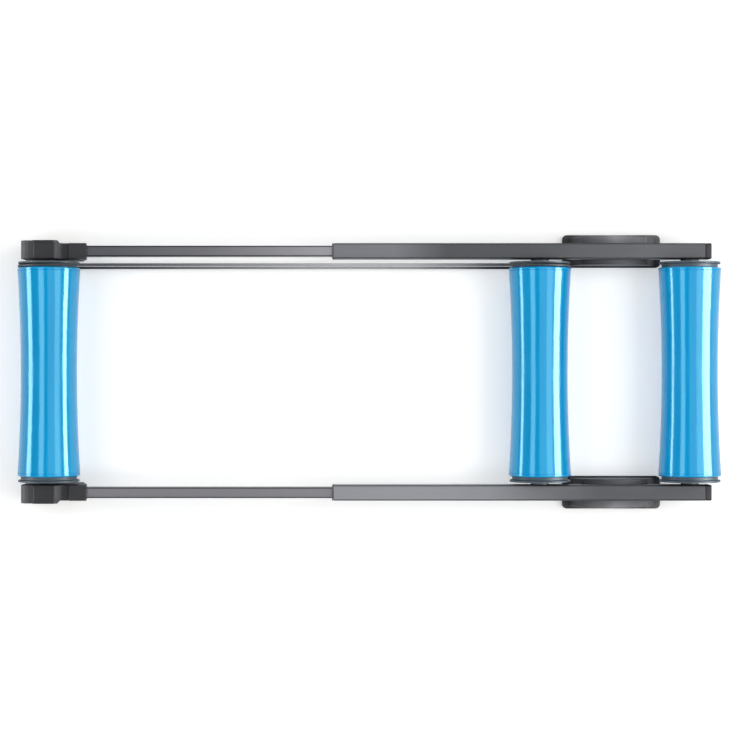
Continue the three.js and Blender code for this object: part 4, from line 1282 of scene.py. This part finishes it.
floor_mesh = bpy.data.meshes.new("studio_floor")
half = FLOOR_SIZE / 2
floor_corners = [(-half, -half, 0), (half, -half, 0), (half, half, 0), (-half, half, 0)]
floor_mesh.from_pydata(floor_corners, [], [(0, 1, 2, 3)])
floor = bpy.data.objects.new("studio_floor", floor_mesh)
bpy.context.scene.collection.objects.link(floor)
floor.location.z = -FLOOR_DROP
print("floor", FLOOR_SIZE, "m square")

# %% The floor's white
white_floor = Finish("studio_white_sweep", Roughness=0.9, Base_Color=FLOOR_PLAIN)
seen = white_floor.node("ShaderNodeLightPath", output="Is Camera Ray")
reflected = white_floor.node("ShaderNodeLightPath", output="Is Glossy Ray")
through = white_floor.node("ShaderNodeLightPath", output="Is Transmission Ray")
looked_at = (seen + reflected + through).clamped()
shaded = white_floor.node("ShaderNodeBsdfDiffuse", {}, {"Color": WHITE})
glow = white_floor.node("ShaderNodeEmission", {}, {"Color": FLOOR_GLOW_COLOUR, "Strength": FLOOR_GLOW})
near = white_floor.node("ShaderNodeAddShader", {}, {0: shaded, 1: glow})
white = white_floor.node("ShaderNodeEmission", {}, {"Color": WHITE, "Strength": 1.0})
distance = white_floor.node(
    "ShaderNodeVectorMath", {"operation": "LENGTH"}, {0: white_floor.place()}, output="Value"
)
far = ((distance - FADE_FROM) / (FADE_TO - FADE_FROM)).clamped()
bright = white_floor.node("ShaderNodeMixShader", {}, {0: far, 1: near, 2: white})
plain = Value(white_floor, white_floor.shader.outputs["BSDF"])
surface = white_floor.node("ShaderNodeMixShader", {}, {0: looked_at, 1: plain, 2: bright})
output_node = white_floor.tree.nodes["Material Output"]
white_floor.tree.links.new(surface.socket, output_node.inputs["Surface"])
floor_mesh.materials.append(white_floor.material)
print("the floor fades to white from", FADE_FROM, "to", FADE_TO, "m")

# %% Long lamps for the stripes
AIM = Vector((0, 0, axle_height))
LAMPS = {
    # name: (x, z) of its middle, width, length, radiance, whether it lights matt and shiny surfaces
    "left_low_lamp": ((-1.72, 0.49), 0.4, 1.5, 9.0, False, True),
    "left_high_lamp": ((-1.79, 3.4), 1.2, 1.5, 3.6, False, True),
    "right_low_lamp": ((1.46, 0.6), 0.6, 1.5, 18.0, False, True),
    "ceiling_panel": ((1.6, 4.2), 4.0, 4.0, 1.35, True, True),
    "right_panel": ((2.7, 3.45), 2.0, 4.0, 2.2, True, True),
    "left_panel": ((-2.6, 3.6), 3.0, 4.0, 1.6, True, False),
}

for name, ((x, z), width, length, radiance, matt, shiny) in LAMPS.items():
    lamp_data = bpy.data.lights.new(name, "AREA")
    lamp_data.shape = "RECTANGLE"
    lamp_data.size = width
    lamp_data.size_y = length
    lamp_data.energy = radiance * width * length * math.pi  # the power that gives this radiance
    lamp = bpy.data.objects.new(name, lamp_data)
    bpy.context.scene.collection.objects.link(lamp)
    lamp.location = (x, 0, z)
    lamp.rotation_euler = (0, math.atan2(x - AIM.x, z - AIM.z), 0)
    lamp.visible_camera = False
    lamp.visible_diffuse = matt
    lamp.visible_glossy = shiny
print(len(LAMPS), "lamps")

# %% A room that is dark above and light around
LEVEL_LIGHT = (0.96, 0.98, 1.01, 1.0)
CEILING_SHADE = (0.09, 0.1, 0.11, 1.0)
CEILING_FROM = 0.6  # how steeply up a direction points where the ceiling's shade begins

world = bpy.data.worlds.new("studio_room")
bpy.context.scene.world = world
world.use_nodes = True
room = Network(world.node_tree)
direction = room.node("ShaderNodeTexCoord", output="Generated")
upwards = room.node("ShaderNodeSeparateXYZ", {}, {"Vector": direction}, output="Z")
room_light = room.blend(LEVEL_LIGHT, CEILING_SHADE, (upwards / CEILING_FROM).clamped())
room.tree.links.new(room_light.socket, room.tree.nodes["Background"].inputs["Color"])
print(len(room.tree.nodes), "nodes light the room")
